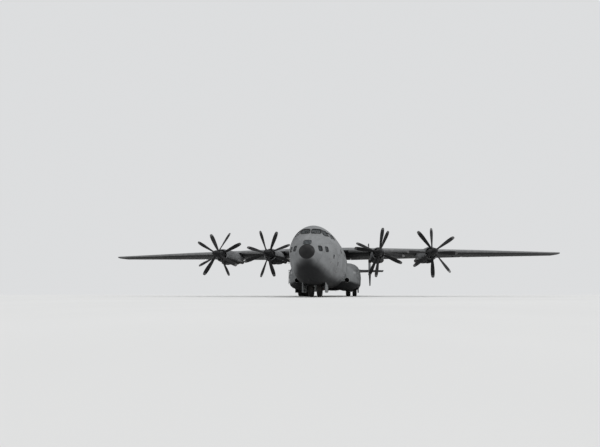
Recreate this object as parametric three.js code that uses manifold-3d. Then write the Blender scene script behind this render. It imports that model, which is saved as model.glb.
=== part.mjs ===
// A very large four-engined turboprop military transport aircraft, parked on its wheels.
// High wing, contra-rotating propellers, twin fins, wheel fairings along the hull and a loading ramp.
//
// Every size is in metres of the full-size aircraft. STATION runs aft from the nose tip, x runs to
// the aircraft's left and z up from the ground. The whole group is a half-size model in millimetres.

import * as THREE from "three";
import { mergeVertices } from "three/addons/utils/BufferGeometryUtils.js";
import Module from "manifold-3d";

const wasm = await Module();
wasm.setup();

const MODEL_MM_PER_M = 500;
const LENGTH = 57.92;
const SEAM = 0.0006;
const CLEAR = 0.02;
const SIDES = [["left", 1], ["right", -1]];

const AXIS_Z = 4.05;
const HULL_POINTS = 32;
const NOSE_CAP_END = 0.28;
const NOSE_SPLIT = 9.0;
const RAMP_HINGE_S = 36.4;
// From where to where each piece of the hull is hollow, running past its own ends, and its skin.
const HOLLOW = {
  nose: { from: 0.62, to: 10.0, skin: 0.2 },
  centre: { from: 7.6, to: 40.0, skin: 0.2 },
  rear: { from: 35.6, to: 57.4, skin: 0.1 },
};
// The equipment bay under the crew deck, ahead of the nose gear, is left solid.
const EQUIPMENT_BAY = { from: 1.4, to: 5.26 - SEAM, top: 3.28 - SEAM };

// Hull sections: station, half width, keel z, roof z, widest z, squareness of the lower half.
const HULL = [
  [0.0, 0.06, 3.66, 3.78, 3.72, 2.0],
  [0.12, 0.4, 3.34, 4.08, 3.72, 2.0],
  [0.5, 0.88, 2.9, 4.5, 3.74, 2.0],
  [1.2, 1.38, 2.34, 4.98, 3.8, 2.0],
  [2.2, 1.8, 1.84, 5.5, 3.88, 2.05],
  [3.2, 2.05, 1.5, 6.34, 3.94, 2.1],
  [4.4, 2.24, 1.25, 6.76, 4.0, 2.2],
  [5.8, 2.42, 1.1, 6.94, 4.03, 2.3],
  [7.6, 2.63, 1.0, 7.02, AXIS_Z, 2.4],
  [10.0, 2.82, 0.96, 7.05, AXIS_Z, 2.5],
  [13.5, 3.0, 0.95, 7.07, AXIS_Z, 2.6],
  [35.6, 3.0, 0.95, 7.07, AXIS_Z, 2.6],
  [40.0, 2.98, 1.5, 7.05, 4.25, 2.6],
  [44.0, 2.92, 2.13, 7.0, 4.5, 2.6],
  [48.0, 2.72, 2.77, 6.9, 4.8, 2.6],
  [51.5, 2.45, 3.33, 6.74, 5.0, 2.65],
  [54.4, 2.2, 3.82, 6.5, 5.12, 2.7],
  [56.3, 1.8, 4.2, 6.18, 5.18, 2.7],
  [57.4, 1.15, 4.62, 5.82, 5.2, 2.5],
  [LENGTH, 0.35, 5.02, 5.4, 5.21, 2.2],
];

// The hump over the wing's centre section: station, half width, roof z.
const WING_HUMP = [
  [16.8, 0.8, 6.95],
  [18.6, 1.8, 7.3],
  [20.6, 2.35, 7.52],
  [26.5, 2.35, 7.5],
  [29.8, 1.8, 7.3],
  [32.4, 0.8, 6.95],
];
const HUMP = { keel: 5.2, widest: 6.2, square: 2.6, points: 24 };

// Crew windows: x on the left side, station, z, width, height, and how many degrees outward each looks.
const WINDOWS = [
  [0.5, 2.6, 5.86, 0.86, 0.52, 0],
  [1.42, 2.9, 5.72, 0.7, 0.56, 42],
  [2.1, 3.75, 5.62, 0.86, 0.5, 90],
  [2.3, 4.8, 5.62, 0.62, 0.46, 90],
  [1.1, 0.8, 4.02, 0.42, 0.4, 50],
  [1.5, 1.65, 4.05, 0.46, 0.4, 67],
];
const WINDOW_DEPTH = 2.4;
const GLASS = 0.05;
// The linings that glaze the windows: the table stations around each, its own stations and its heights.
const GLAZING_FRONT = HOLLOW.nose.from + SEAM;
const GLAZING = {
  cockpit_glazing: { rows: [1.2, 5.8], s: [2.0, 5.3], z: [5.3, 6.2] },
  navigator_glazing: { rows: [GLAZING_FRONT, 3.2], s: [GLAZING_FRONT, 2.25], z: [3.72, 4.34] },
};

// The flight deck: its floor, the instrument panel, the console, the seats and the rear bulkhead.
const CREW_FLOOR = { s: [1.55, 8.8], z: [3.28, 3.38] };
const CREW_FOOT = 3.35;
const PANEL = { half: 1.3, s: [2.3, 2.6], top: 4.6 };
const CONSOLE = { half: 0.32, s: [2.5, 3.6], top: 4.05 };
const SEAT = { x: 0.85, half: 0.28, pad: { s: [3.3, 3.85], top: 3.85 }, back: { s: [3.8, 3.98], top: 4.75 } };
const BULKHEAD = { s: [8.76, 8.9], z: [0.9, 7.2] };
const BULKHEAD_DOORS = [{ half: 0.5, z: [1.75, 3.1] }, { half: 0.45, z: [3.45, 5.4] }];

// Wheel fairing sections: station, outermost x, keel z, top z.
const FAIRING_INNER_X = 0.7;
const FAIRING_POINTS = 20;
const FAIRING_SQUARE = { lower: 3.2, upper: 2.6 };
const FAIRING_SKIN = 0.14;
const FAIRING_HOLLOW = [28.9, 40.2];
const FAIRING = [
  [13.1, 3.0, 1.75, 2.9],
  [13.7, 3.64, 1.3, 3.55],
  [15.0, 4.3, 0.98, 4.05],
  [16.8, 4.72, 0.86, 4.3],
  [19.2, 4.82, 0.84, 4.38],
  [27.0, 5.0, 0.84, 4.38],
  [33.4, 5.04, 0.84, 4.38],
  [35.4, 4.85, 0.93, 4.2],
  [37.2, 4.32, 1.16, 3.9],
  [39.0, 3.72, 1.5, 3.5],
  [40.6, 3.1, 1.9, 3.05],
];

// The round air intake in each fairing's nose, between two points on its axis.
const INTAKE = { from: [2.95, 12.4, 1.9], to: [3.15, 14.9, 2.0], radius: 0.27, sides: 12 };

const WHEEL_BAY = { x: [2.52, 4.4], s: [20.5, 28.2], top: 2.75 };
// Each pair of wheels: tyre radius and width, and how far each wheel is from the middle of its axle.
const MAIN_WHEEL = { radius: 0.875, width: 0.62, spread: 0.47 };
const NOSE_WHEEL = { radius: 0.725, width: 0.5, spread: 0.42 };
const MAIN_GEAR = { x: 3.46, stations: [21.85, 24.35, 26.85] };
const NOSE_AXLE_S = 6.78;
const WHEEL_SIDES = 16;
// A tyre's and its hub's outline: radius as a share of the wheel's, and side as a share of half its width.
const TYRE = [
  [0.55, -1], [0.88, -1], [1, -0.55], [1, 0.55], [0.88, 1], [0.52, 1], [0.42, 0.45], [0, 0.45],
];
const AXLE_R = 0.09;
// A main leg stands ahead of its axle by its knee, with a trailing arm and a brace behind it.
const MAIN_LEG = { radius: 0.13, ahead: 0.62, foot: 1.1, beam: { half: 0.14, deep: 0.22, inset: 0.2 } };
const MAIN_KNEE = { half: 0.1, s: [-0.12, 0.16], z: [0.92, 1.3] };
const MAIN_ARM = { half: 0.09, z: [0.94, 1.22], end: 0.15 };
const BRACE = { radius: 0.07, ahead: 0.05, low: 1.85, behind: 0.25 };
const DOOR_RAIL = { x: [4.46, 4.54], z: [1.0, 1.6] };
const DOOR_PANEL = { x: [4.46, 4.52], z: [0.5, 1.2], gap: 0.05, count: 3 };
const EYE = { inner: 0.0982, outer: 0.2, half: 0.11, sides: 8 };
const NOSE_BAY = { half: 1.1, s: [5.35, 8.0], top: 2.55, wall: 0.09 };
const STEER_S = 6.6;
const NOSE_LEG = { pivot: 1.95, foot: 1.0, radius: 0.15, housing: 0.22 };
const NOSE_BRACE = { radius: 0.08, z: [2.1, 2.3] };
const NOSE_KNEE = { half: 0.1, s: [-0.14, 0.06], z: [0.62, 1.1] };
const NOSE_FORK = { ahead: 0.1, z: [0.64, 0.98], end: 0.13, deep: 0.12 };
const NOSE_DOOR = { out: [-0.02, 0.05], z: [0.42, 1.6] };

// Wing sections by distance from the centre line: station and z of the leading edge, chord,
// thickness as a share of the chord, and incidence in degrees.
const WING = [
  { x: 3.1, le: 20.0, z: 6.45, chord: 8.1, thick: 0.15, pitch: 4.0 },
  { x: 20.4, le: 20.55, z: 6.17, chord: 4.8, thick: 0.14, pitch: 3.4 },
  { x: 32.2, le: 20.75, z: 5.84, chord: 2.35, thick: 0.12, pitch: 2.6 },
];
const WING_CAMBER = 0.018;
const FLAP_HINGE = 0.73;
const FLAP_BREAKS = { root: 3.4, middle: 10.2, outer: 20.4, tip: 30.9 };
const RIB_HALF = 0.05;
const CUT_STEP = 0.002;
const PIN_R = 0.035;
const END_CLEAR = 0.075;
const NOSE_SHARE = 0.94;
const EDGE_HALF = 0.0035;

// Tailplane and fins, with the same columns. A fin's x is its height z, and its z is its x.
const TAIL_Z = 5.85;
const TAILPLANE = [
  { x: 0, le: 49.6, z: TAIL_Z, chord: 6.1, thick: 0.095, pitch: 3.0 },
  { x: 11.0, le: 52.2, z: TAIL_Z, chord: 3.3, thick: 0.085, pitch: 3.0 },
];
const ELEVATOR = { hinge: 0.68, from: 2.6, to: 7.2 };
const FIN_X = 7.72;
const FIN = [
  { x: 2.3, le: 52.0, z: FIN_X, chord: 3.0, thick: 0.085, pitch: 0 },
  { x: TAIL_Z, le: 49.5, z: FIN_X, chord: 6.5, thick: 0.09, pitch: 0 },
  { x: 12.53, le: 53.3, z: FIN_X, chord: 2.85, thick: 0.085, pitch: 0 },
];
const RUDDER_HINGE = 0.66;
const RUDDERS = { lower: [3.05, 4.9], upper: [6.5, 11.55] };

const ENGINE_X = { inner: 7.05, outer: 13.6 };
const HUB_Z = 5.35;
const NACELLE_POINTS = 16;
const NACELLE_SQUARE = 2.15;
// Nacelle sections: station, half width, keel z, top z.
const NACELLE = [
  [15.5, 0.8, 4.55, 6.15],
  [15.9, 0.86, 4.48, 6.22],
  [17.6, 0.88, 4.42, 6.3],
  [19.4, 0.87, 4.44, 6.4],
  [21.0, 0.84, 4.56, 6.5],
  [22.4, 0.72, 4.95, 6.45],
  [23.4, 0.5, 5.45, 6.3],
  [24.1, 0.25, 5.85, 6.15],
];
const EXHAUST = { x: 0.78, z: 4.98, from: 19.5, to: 21.6, radius: 0.27 };
const PROP = { front: 14.05, rear: 14.95, blades: 4 };
// Outlines turned about the engine's axis, as radius and station: the spinner's two halves with the pins
// between them, the gearbox nose behind them and the hollow mouth around it.
const FRONT_HUB = [
  [0, 12.85], [0.16, 12.95], [0.32, 13.3], [0.43, 13.8], [0.46, 14.48], [0.15, 14.48],
  [0.15, 14.5 - SEAM], [0, 14.5 - SEAM],
];
const REAR_HUB = [[0, 14.5], [0.47, 14.5], [0.52, 15.0], [0.54, 15.4], [0.2, 15.4], [0.2, 15.46], [0, 15.46]];
const GEARBOX = [[0, 15.46 + SEAM], [0.3, 15.46 + SEAM], [0.42, 16.0], [0.42, 16.5], [0, 16.5]];
const NACELLE_MOUTH = [[0, 15.3], [0.7, 15.3], [0.72, 15.5], [0.6, 16.3], [0, 16.3]];
// Blade sections: radius from the hub, chord, thickness, pitch in degrees.
const BLADE = [
  [0.34, 0.24, 0.2, 62],
  [1.0, 0.38, 0.11, 53],
  [2.3, 0.52, 0.05, 34],
  [3.1, 0.3, 0.025, 27],
];
// A blade section's outline, as shares of its chord and thickness.
const BLADE_OUTLINE = [[-0.5, 0], [-0.2, 0.5], [0.2, 0.42], [0.5, 0], [0.2, -0.42], [-0.2, -0.5]];
// Where the front and the rear propeller's blades stand, in degrees from the left wing's side.
const BLADE_ANGLES = {
  outer_right: [60, 28],
  inner_right: [20, 72],
  inner_left: [80, 65],
  outer_left: [35, 88],
};

// The hatch under the tail: its sill rises aft, and it narrows from the ramp's end to the cargo door's.
const SILL = { at: RAMP_HINGE_S, z: 1.6, slope: 0.158 };
const HATCH = { ahead: 1.85, behind: 1.5, narrows: 42.6, wall: 0.25 };
const RAMP = { from: 36.5, to: 42.6, hingeZ: 1.3, tray: 0.24 };
const CARGO_DOOR = { from: 42.64, to: 48.9, pin: 0.05, tray: 0.3 };
const LEAN = 0.2;
const DECK = { z: [1.48, 1.62], from: 9.1, to: 36.3 };
const CREW_DOOR = { s: [16.5, 17.5], z: [1.55, 3.35], thick: 0.12, hingeX: 4.69 };

const paint = new THREE.MeshStandardMaterial({ color: 0x7c8082, roughness: 0.5, metalness: 0.1 });
const belly = new THREE.MeshStandardMaterial({ color: 0x4e5254, roughness: 0.55, metalness: 0.1 });
const dark = new THREE.MeshStandardMaterial({ color: 0x1d1e20, roughness: 0.6, metalness: 0.0 });
const glass = new THREE.MeshStandardMaterial({ color: 0x20272c, roughness: 0.1, metalness: 0.0 });
const rubber = new THREE.MeshStandardMaterial({ color: 0x161616, roughness: 0.9, metalness: 0.0 });
const steel = new THREE.MeshStandardMaterial({ color: 0x9a9d9e, roughness: 0.35, metalness: 0.8 });
const deckPaint = new THREE.MeshStandardMaterial({ color: 0x6a6f6c, roughness: 0.8, metalness: 0.2 });

const aircraft = new THREE.Group();
aircraft.scale.setScalar(MODEL_MM_PER_M);
aircraft.position.y = (-LENGTH / 2) * MODEL_MM_PER_M;

// Points are made as x, station, z, and a station is the group's own y.
const point = (x, s, z) => new THREE.Vector3(x, s, z);
const mix = (a, b, t) => a + (b - a) * t;

function solid(geometry) {
  const flat = geometry.index ? geometry.toNonIndexed() : geometry;
  const bare = new THREE.BufferGeometry().setAttribute("position", flat.getAttribute("position"));
  const merged = mergeVertices(bare, 1e-5);
  const mesh = new wasm.Mesh({
    numProp: 3,
    vertProperties: merged.attributes.position.array,
    triVerts: new Uint32Array(merged.index.array),
  });
  return new wasm.Manifold(mesh);
}

function geometryOf(manifold) {
  const mesh = manifold.getMesh();
  const position = new Float32Array(mesh.numVert * 3);
  for (let i = 0; i < mesh.numVert; i++) {
    const from = i * mesh.numProp;
    position.set(mesh.vertProperties.subarray(from, from + 3), i * 3);
  }
  return new THREE.BufferGeometry()
    .setAttribute("position", new THREE.BufferAttribute(position, 3))
    .setIndex(new THREE.BufferAttribute(mesh.triVerts, 1));
}

function place(name, shape, material) {
  const mesh = new THREE.Mesh(geometryOf(shape), material);
  mesh.name = name;
  aircraft.add(mesh);
  return mesh;
}

// A closed solid through rings of equally many points, with a fan over each end.
function loft(rings) {
  const count = rings[0].length;
  const vertices = [];
  for (const ring of rings) for (const p of ring) vertices.push(p.x, p.y, p.z);
  const centres = [rings[0], rings[rings.length - 1]].map((ring) => {
    const middle = new THREE.Vector3();
    for (const p of ring) middle.add(p);
    return middle.divideScalar(count);
  });
  for (const c of centres) vertices.push(c.x, c.y, c.z);
  const faces = [];
  for (let r = 0; r + 1 < rings.length; r++) {
    for (let i = 0; i < count; i++) {
      const j = (i + 1) % count;
      const [a, b, c, d] = [r * count + i, r * count + j, (r + 1) * count + j, (r + 1) * count + i];
      faces.push(a, b, c, a, c, d);
    }
  }
  const last = (rings.length - 1) * count;
  const first = rings.length * count;
  for (let i = 0; i < count; i++) {
    const j = (i + 1) % count;
    faces.push(first, j, i, first + 1, last + i, last + j);
  }
  const make = (order) => {
    const geometry = new THREE.BufferGeometry();
    geometry.setAttribute("position", new THREE.BufferAttribute(new Float32Array(vertices), 3));
    geometry.setIndex(order);
    return solid(geometry);
  };
  const made = make(faces);
  return made.volume() > 0 ? made : make([...faces].reverse());
}

function box(x, s, z) {
  const geometry = new THREE.BoxGeometry(x[1] - x[0], s[1] - s[0], z[1] - z[0]);
  return solid(geometry.translate((x[0] + x[1]) / 2, (s[0] + s[1]) / 2, (z[0] + z[1]) / 2));
}

// A side profile of station and z points, extruded across from one x to the other.
function sideProfile(points, x) {
  return loft(x.map((at) => points.map(([s, z]) => point(at, s, z))));
}

// A round bar between two points.
function bar(from, to, radius, sides = 10) {
  const along = to.clone().sub(from);
  const geometry = new THREE.CylinderGeometry(radius, radius, along.length(), sides);
  const upright = new THREE.Vector3(0, 1, 0);
  geometry.applyQuaternion(new THREE.Quaternion().setFromUnitVectors(upright, along.clone().normalize()));
  const middle = from.clone().add(to).divideScalar(2);
  return solid(geometry.translate(middle.x, middle.y, middle.z));
}

const joined = (shapes) => shapes.reduce((all, one) => all.add(one));
const mirrored = (shape, side) => (side > 0 ? shape : shape.mirror([1, 0, 0]));

// Superellipse ring at one station. The upper half is round and the lower half takes its own squareness.
function ovalRing(s, centre, half, keel, roof, widest, square, count, upperSquare = 2) {
  const ring = [];
  for (let i = 0; i < count; i++) {
    const angle = (i / count) * 2 * Math.PI;
    const [side, up] = [Math.sin(angle), Math.cos(angle)];
    const power = 2 / (up < 0 ? square : upperSquare);
    const height = up < 0 ? widest - keel : roof - widest;
    const x = centre + half * Math.sign(side) * Math.abs(side) ** power;
    ring.push(point(x, s, widest + height * Math.sign(up) * Math.abs(up) ** power));
  }
  return ring;
}

// A hull ring at any station, on the straight lines between the two table sections around it.
function hullRing(s, grow) {
  const next = Math.max(1, HULL.findIndex((row) => row[0] >= s));
  const [before, after] = [HULL[next - 1], HULL[next]].map(([at, half, keel, roof, widest, square]) =>
    ovalRing(at, 0, half + grow, keel - grow, roof + grow, widest, square, HULL_POINTS),
  );
  const share = (s - HULL[next - 1][0]) / (HULL[next][0] - HULL[next - 1][0]);
  return before.map((p, i) => p.lerp(after[i], share));
}

// Every hull solid has rings at the table's stations and at the two joints, so that their faces match.
function hull(from, to, grow = 0) {
  const marks = [...HULL.map((row) => row[0]), NOSE_SPLIT, RAMP_HINGE_S].sort((a, b) => a - b);
  const stations = [from, ...marks.filter((s) => s > from + SEAM * 2 && s < to - SEAM * 2), to];
  return loft(stations.map((s) => hullRing(s, grow)));
}

// The inside of one piece of the hull, less its skin and a little more.
const hollow = ({ from, to, skin }, more = 0) => hull(from, to, -skin - more);

function fairing(side, grow = 0) {
  const { lower, upper } = FAIRING_SQUARE;
  const rings = FAIRING.map(([s, outer, keel, top]) => {
    const centre = (FAIRING_INNER_X + outer) / 2;
    const half = (outer - FAIRING_INNER_X) / 2 + grow;
    const middle = (keel + top) / 2;
    return ovalRing(s, centre, half, keel - grow, top + grow, middle, lower, FAIRING_POINTS, upper);
  });
  return mirrored(loft(rings), side);
}

// Half thickness of a symmetrical section at a share of its chord, as a share of the chord.
function halfThickness(share, thick) {
  const f = share;
  const form = 0.2969 * Math.sqrt(f) - 0.126 * f - 0.3516 * f ** 2 + 0.2843 * f ** 3 - 0.1036 * f ** 4;
  return 5 * thick * form + 0.0015;
}

// A lifting surface's section between two rows of its table.
function surfaceSection(rows, x) {
  const i = rows.length > 2 && x > rows[1].x ? 1 : 0;
  const t = (x - rows[i].x) / (rows[i + 1].x - rows[i].x);
  const at = {};
  for (const key of Object.keys(rows[0])) at[key] = mix(rows[i][key], rows[i + 1][key], Math.max(t, 0));
  at.x = x;
  return at;
}

// A point on a section: share of the chord aft of the leading edge, and height as a share of the chord.
function onSection(at, share, up, upright) {
  const pitch = THREE.MathUtils.degToRad(at.pitch);
  const aft = at.chord * (share * Math.cos(pitch) + up * Math.sin(pitch));
  const rise = at.chord * (up * Math.cos(pitch) - share * Math.sin(pitch));
  return upright ? point(at.z + rise, at.le + aft, at.x) : point(at.x, at.le + aft, at.z + rise);
}

const FRONT_SHARES = [0, 0.012, 0.05, 0.13, 0.27, 0.48];
const MID_SHARE = FRONT_SHARES[FRONT_SHARES.length - 1];
function surfaceRing(at, end, { camber = 0, upright = false, grow = 0 } = {}) {
  const shares = [...FRONT_SHARES, mix(MID_SHARE, end, 0.5), end];
  const lift = grow / at.chord;
  const level = (f) => 4 * camber * f * (1 - f);
  const stretch = (f) => (f === 0 ? -lift : f === end ? f + lift : f);
  const skin = (way) => (f) => {
    const out = halfThickness(f, at.thick) + lift;
    return onSection(at, stretch(f), level(f) + way * out, upright);
  };
  return [...shares.map(skin(1)).reverse(), ...shares.map(skin(-1))];
}

// A moving trailing-edge surface: a round nose on its hinge line, and flat sides back to the trailing edge.
function trailingRing(at, hinge, { camber = 0, upright = false } = {}) {
  const level = (f) => 4 * camber * f * (1 - f);
  const radius = halfThickness(hinge, at.thick) * NOSE_SHARE;
  const ring = [];
  for (let i = 0; i <= 4; i++) {
    const angle = Math.PI / 2 + (i / 4) * Math.PI;
    const [along, up] = [hinge + radius * Math.cos(angle), level(hinge) + radius * Math.sin(angle)];
    ring.push(onSection(at, along, up, upright));
  }
  ring.push(onSection(at, 1, -EDGE_HALF, upright), onSection(at, 1, EDGE_HALF, upright));
  return ring;
}

const hingeLevel = (hinge, camber) => 4 * camber * hinge * (1 - hinge);
const hingePoint = (at, hinge, camber, upright) => onSection(at, hinge, hingeLevel(hinge, camber), upright);
const trimShare = (at, hinge) => hinge - halfThickness(hinge, at.thick) * NOSE_SHARE - CLEAR / at.chord;

// The moving surface between two places on its table, with a pin at each end that reaches the fixed ribs.
function movingSurface(rows, from, to, hinge, options = {}) {
  const ends = [surfaceSection(rows, from + END_CLEAR), surfaceSection(rows, to - END_CLEAR)];
  const reach = CUT_STEP + SEAM;
  const seats = [surfaceSection(rows, from + reach), surfaceSection(rows, to - reach)];
  const camber = options.camber ?? 0;
  const [a, b] = seats.map((at) => hingePoint(at, hinge, camber, options.upright));
  const axis = b.clone().sub(a).normalize();
  const slant = Math.acos(Math.min(1, options.upright ? axis.z : axis.x));
  const inset = axis.multiplyScalar(PIN_R * Math.tan(slant));
  const pin = bar(a.clone().add(inset), b.clone().sub(inset), PIN_R, 8);
  return loft(ends.map((at) => trailingRing(at, hinge, options))).add(pin);
}

function wingPart(from, to, grow = 0) {
  const rings = [];
  const add = (x, full) => {
    const at = surfaceSection(WING, Math.abs(x));
    at.x = x;
    rings.push(surfaceRing(at, full ? 1 : trimShare(at, FLAP_HINGE), { camber: WING_CAMBER, grow }));
  };
  const { root, outer, tip } = FLAP_BREAKS;
  const inner = [[root, true], [root + CUT_STEP, false]];
  const marks = [...inner, [outer, false], [tip - CUT_STEP, false], [tip, true]];
  const all = [...marks.map(([x, full]) => [-x, full]).reverse(), ...marks];
  add(from, Math.abs(from) <= root || Math.abs(from) >= tip);
  for (const [x, full] of all) if (x > from + 1e-6 && x < to - 1e-6) add(x, full);
  add(to, Math.abs(to) <= root || Math.abs(to) >= tip);
  return loft(rings);
}

// A narrow fixed rib behind the rear spar that takes the pins on either side of it.
function hingeRib(rows, x, hinge, side, options = {}) {
  const at = surfaceSection(rows, x);
  const camber = options.camber ?? 0;
  const front = trimShare(at, hinge) - 0.1 / at.chord;
  const back = hinge + 0.12 / at.chord;
  const half = halfThickness(hinge, at.thick) * 0.75;
  const level = hingeLevel(hinge, camber);
  const corners = [
    [front, level - half],
    [back, level - half * 0.6],
    [back, level + half * 0.6],
    [front, level + half],
  ];
  const planes = [-RIB_HALF, RIB_HALF].map((shift) => {
    const place = { ...at, x: at.x + shift };
    return corners.map(([share, up]) => onSection(place, share, up, options.upright));
  });
  return mirrored(loft(planes), side);
}

const sill = (s) => SILL.z + (s - SILL.at) * SILL.slope;

// A block as wide as the hatch and some more, between two heights over its sill.
// Its ends may lean, so that they are further aft lower down.
function hatchBlock(ends, more, heights, leans = [0, 0]) {
  const half = (s) => {
    const share = THREE.MathUtils.clamp((s - HATCH.narrows) / (CARGO_DOOR.to - HATCH.narrows), 0, 1);
    return mix(HATCH.ahead, HATCH.behind, share) + more;
  };
  const ring = (s, lean) => {
    const x = half(s);
    const corner = (side, height) => point(side * x, s - lean * height, sill(s) + height);
    return [corner(-1, heights[0]), corner(1, heights[0]), corner(1, heights[1]), corner(-1, heights[1])];
  };
  const between = ends[0] < HATCH.narrows && ends[1] > HATCH.narrows ? [ring(HATCH.narrows, 0)] : [];
  return loft([ring(ends[0], leans[0]), ...between, ring(ends[1], leans[1])]);
}

function windowBox([x, s, z, width, height, turn], side) {
  const geometry = new THREE.BoxGeometry(width, WINDOW_DEPTH, height);
  geometry.rotateZ(THREE.MathUtils.degToRad(side * turn));
  return solid(geometry.translate(side * x, s, z));
}

function makeHull() {
  const windows = SIDES.flatMap(([, side]) => WINDOWS.map((row) => windowBox(row, side)));
  const noseWell = box([-NOSE_BAY.half, NOSE_BAY.half], NOSE_BAY.s, [0, 2]);
  const { from, to, top } = EQUIPMENT_BAY;
  const cabin = hollow(HOLLOW.nose).subtract(box([-3, 3], [from, to], [0, top]));
  let nose = hull(NOSE_CAP_END + SEAM, NOSE_SPLIT - SEAM).subtract(cabin);
  for (const opening of windows) nose = nose.subtract(opening);
  place("fuselage_nose", nose.subtract(noseWell), paint);
  place("nose_cap", hull(0, NOSE_CAP_END), dark);

  const { skin } = HOLLOW.nose;
  for (const [name, { rows, s, z }] of Object.entries(GLAZING)) {
    const inner = hull(...rows, -skin - SEAM * 2);
    const core = hull(s[0] + GLASS, s[1] + 2 * GLASS, -skin - GLASS);
    place(name, inner.subtract(core).intersect(box([-4, 4], s, z)), glass);
  }

  const { keel, widest, square, points } = HUMP;
  const hump = loft(
    WING_HUMP.map(([s, half, roof]) => ovalRing(s, 0, half, keel, roof, widest, square, points, square)),
  );
  const wingSlot = wingPart(-FLAP_BREAKS.root, FLAP_BREAKS.root, SEAM);
  const centre = hull(NOSE_SPLIT, RAMP_HINGE_S - SEAM)
    .add(hump)
    .subtract(hollow(HOLLOW.centre))
    .subtract(wingSlot);
  place("fuselage_centre", centre, paint);

  const edge = CARGO_DOOR.to + 0.04;
  const hold = hollow(HOLLOW.rear);
  const rear = hull(RAMP_HINGE_S, LENGTH)
    .subtract(hold.intersect(hatchBlock([RAMP_HINGE_S - 1, LENGTH], 4, [0, 9])))
    .subtract(hatchBlock([RAMP_HINGE_S - 1, edge], 0, [-9, SEAM]))
    .subtract(tailplanePart(SEAM));
  place("fuselage_rear", rear, paint);

  // The ramp and the cargo door fill the hatch under the sill, with a tray cut into their tops.
  const { hingeZ } = RAMP;
  const rampNose = sideProfile(
    [[RAMP.from - 0.5, 0], [RAMP.from + 0.14, 0], [RAMP.from, hingeZ], [RAMP.from - 0.5, hingeZ]],
    [-3, 3],
  );
  const pinS = RAMP.from - 0.03;
  const ramp = hull(RAMP.from, RAMP.to + 1)
    .intersect(hatchBlock([RAMP.from, RAMP.to], -CLEAR, [-9, -CLEAR], [0, LEAN]))
    .subtract(hatchBlock([RAMP.from - 1, RAMP.to + 1], -HATCH.wall, [-RAMP.tray, 2]))
    .subtract(rampNose)
    .add(bar(point(-1.6, pinS, hingeZ), point(1.6, pinS, hingeZ), pinS - RAMP_HINGE_S - SEAM, 8));
  place("loading_ramp", ramp, belly);
  const doorS = edge - CARGO_DOOR.pin - SEAM;
  const doorZ = sill(doorS) - CARGO_DOOR.pin;
  const door = hull(CARGO_DOOR.from - 1, CARGO_DOOR.to)
    .intersect(hatchBlock([CARGO_DOOR.from, CARGO_DOOR.to], -CLEAR, [-9, -CLEAR], [LEAN, 0]))
    .subtract(hatchBlock([CARGO_DOOR.from - 1, CARGO_DOOR.to - 0.5], -HATCH.wall, [-CARGO_DOOR.tray, 2]))
    .add(bar(point(-1.2, doorS, doorZ), point(1.2, doorS, doorZ), CARGO_DOOR.pin, 8));
  place("cargo_door", door, belly);

  const inside = hull(HOLLOW.nose.from, HOLLOW.centre.to, -HOLLOW.nose.skin - SEAM);
  place("cargo_deck", box([-2.4, 2.4], [DECK.from, DECK.to], DECK.z).intersect(inside), deckPaint);

  const stand = ({ s, top }, half, x = 0) => box([x - half, x + half], s, [CREW_FOOT, top]);
  const seats = SIDES.flatMap(([, side]) =>
    [SEAT.pad, SEAT.back].map((part) => stand(part, SEAT.half, side * SEAT.x)),
  );
  const doorways = BULKHEAD_DOORS.map((door) => box([-door.half, door.half], [8, 10], door.z));
  const bulkhead = doorways.reduce((wall, door) => wall.subtract(door), box([-3, 3], BULKHEAD.s, BULKHEAD.z));
  const floor = box([-3, 3], CREW_FLOOR.s, CREW_FLOOR.z);
  const stands = [stand(PANEL, PANEL.half), stand(CONSOLE, CONSOLE.half)];
  const crewDeck = joined([floor, bulkhead, ...stands, ...seats]);
  place("crew_deck", crewDeck.intersect(inside), deckPaint);
}

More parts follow.
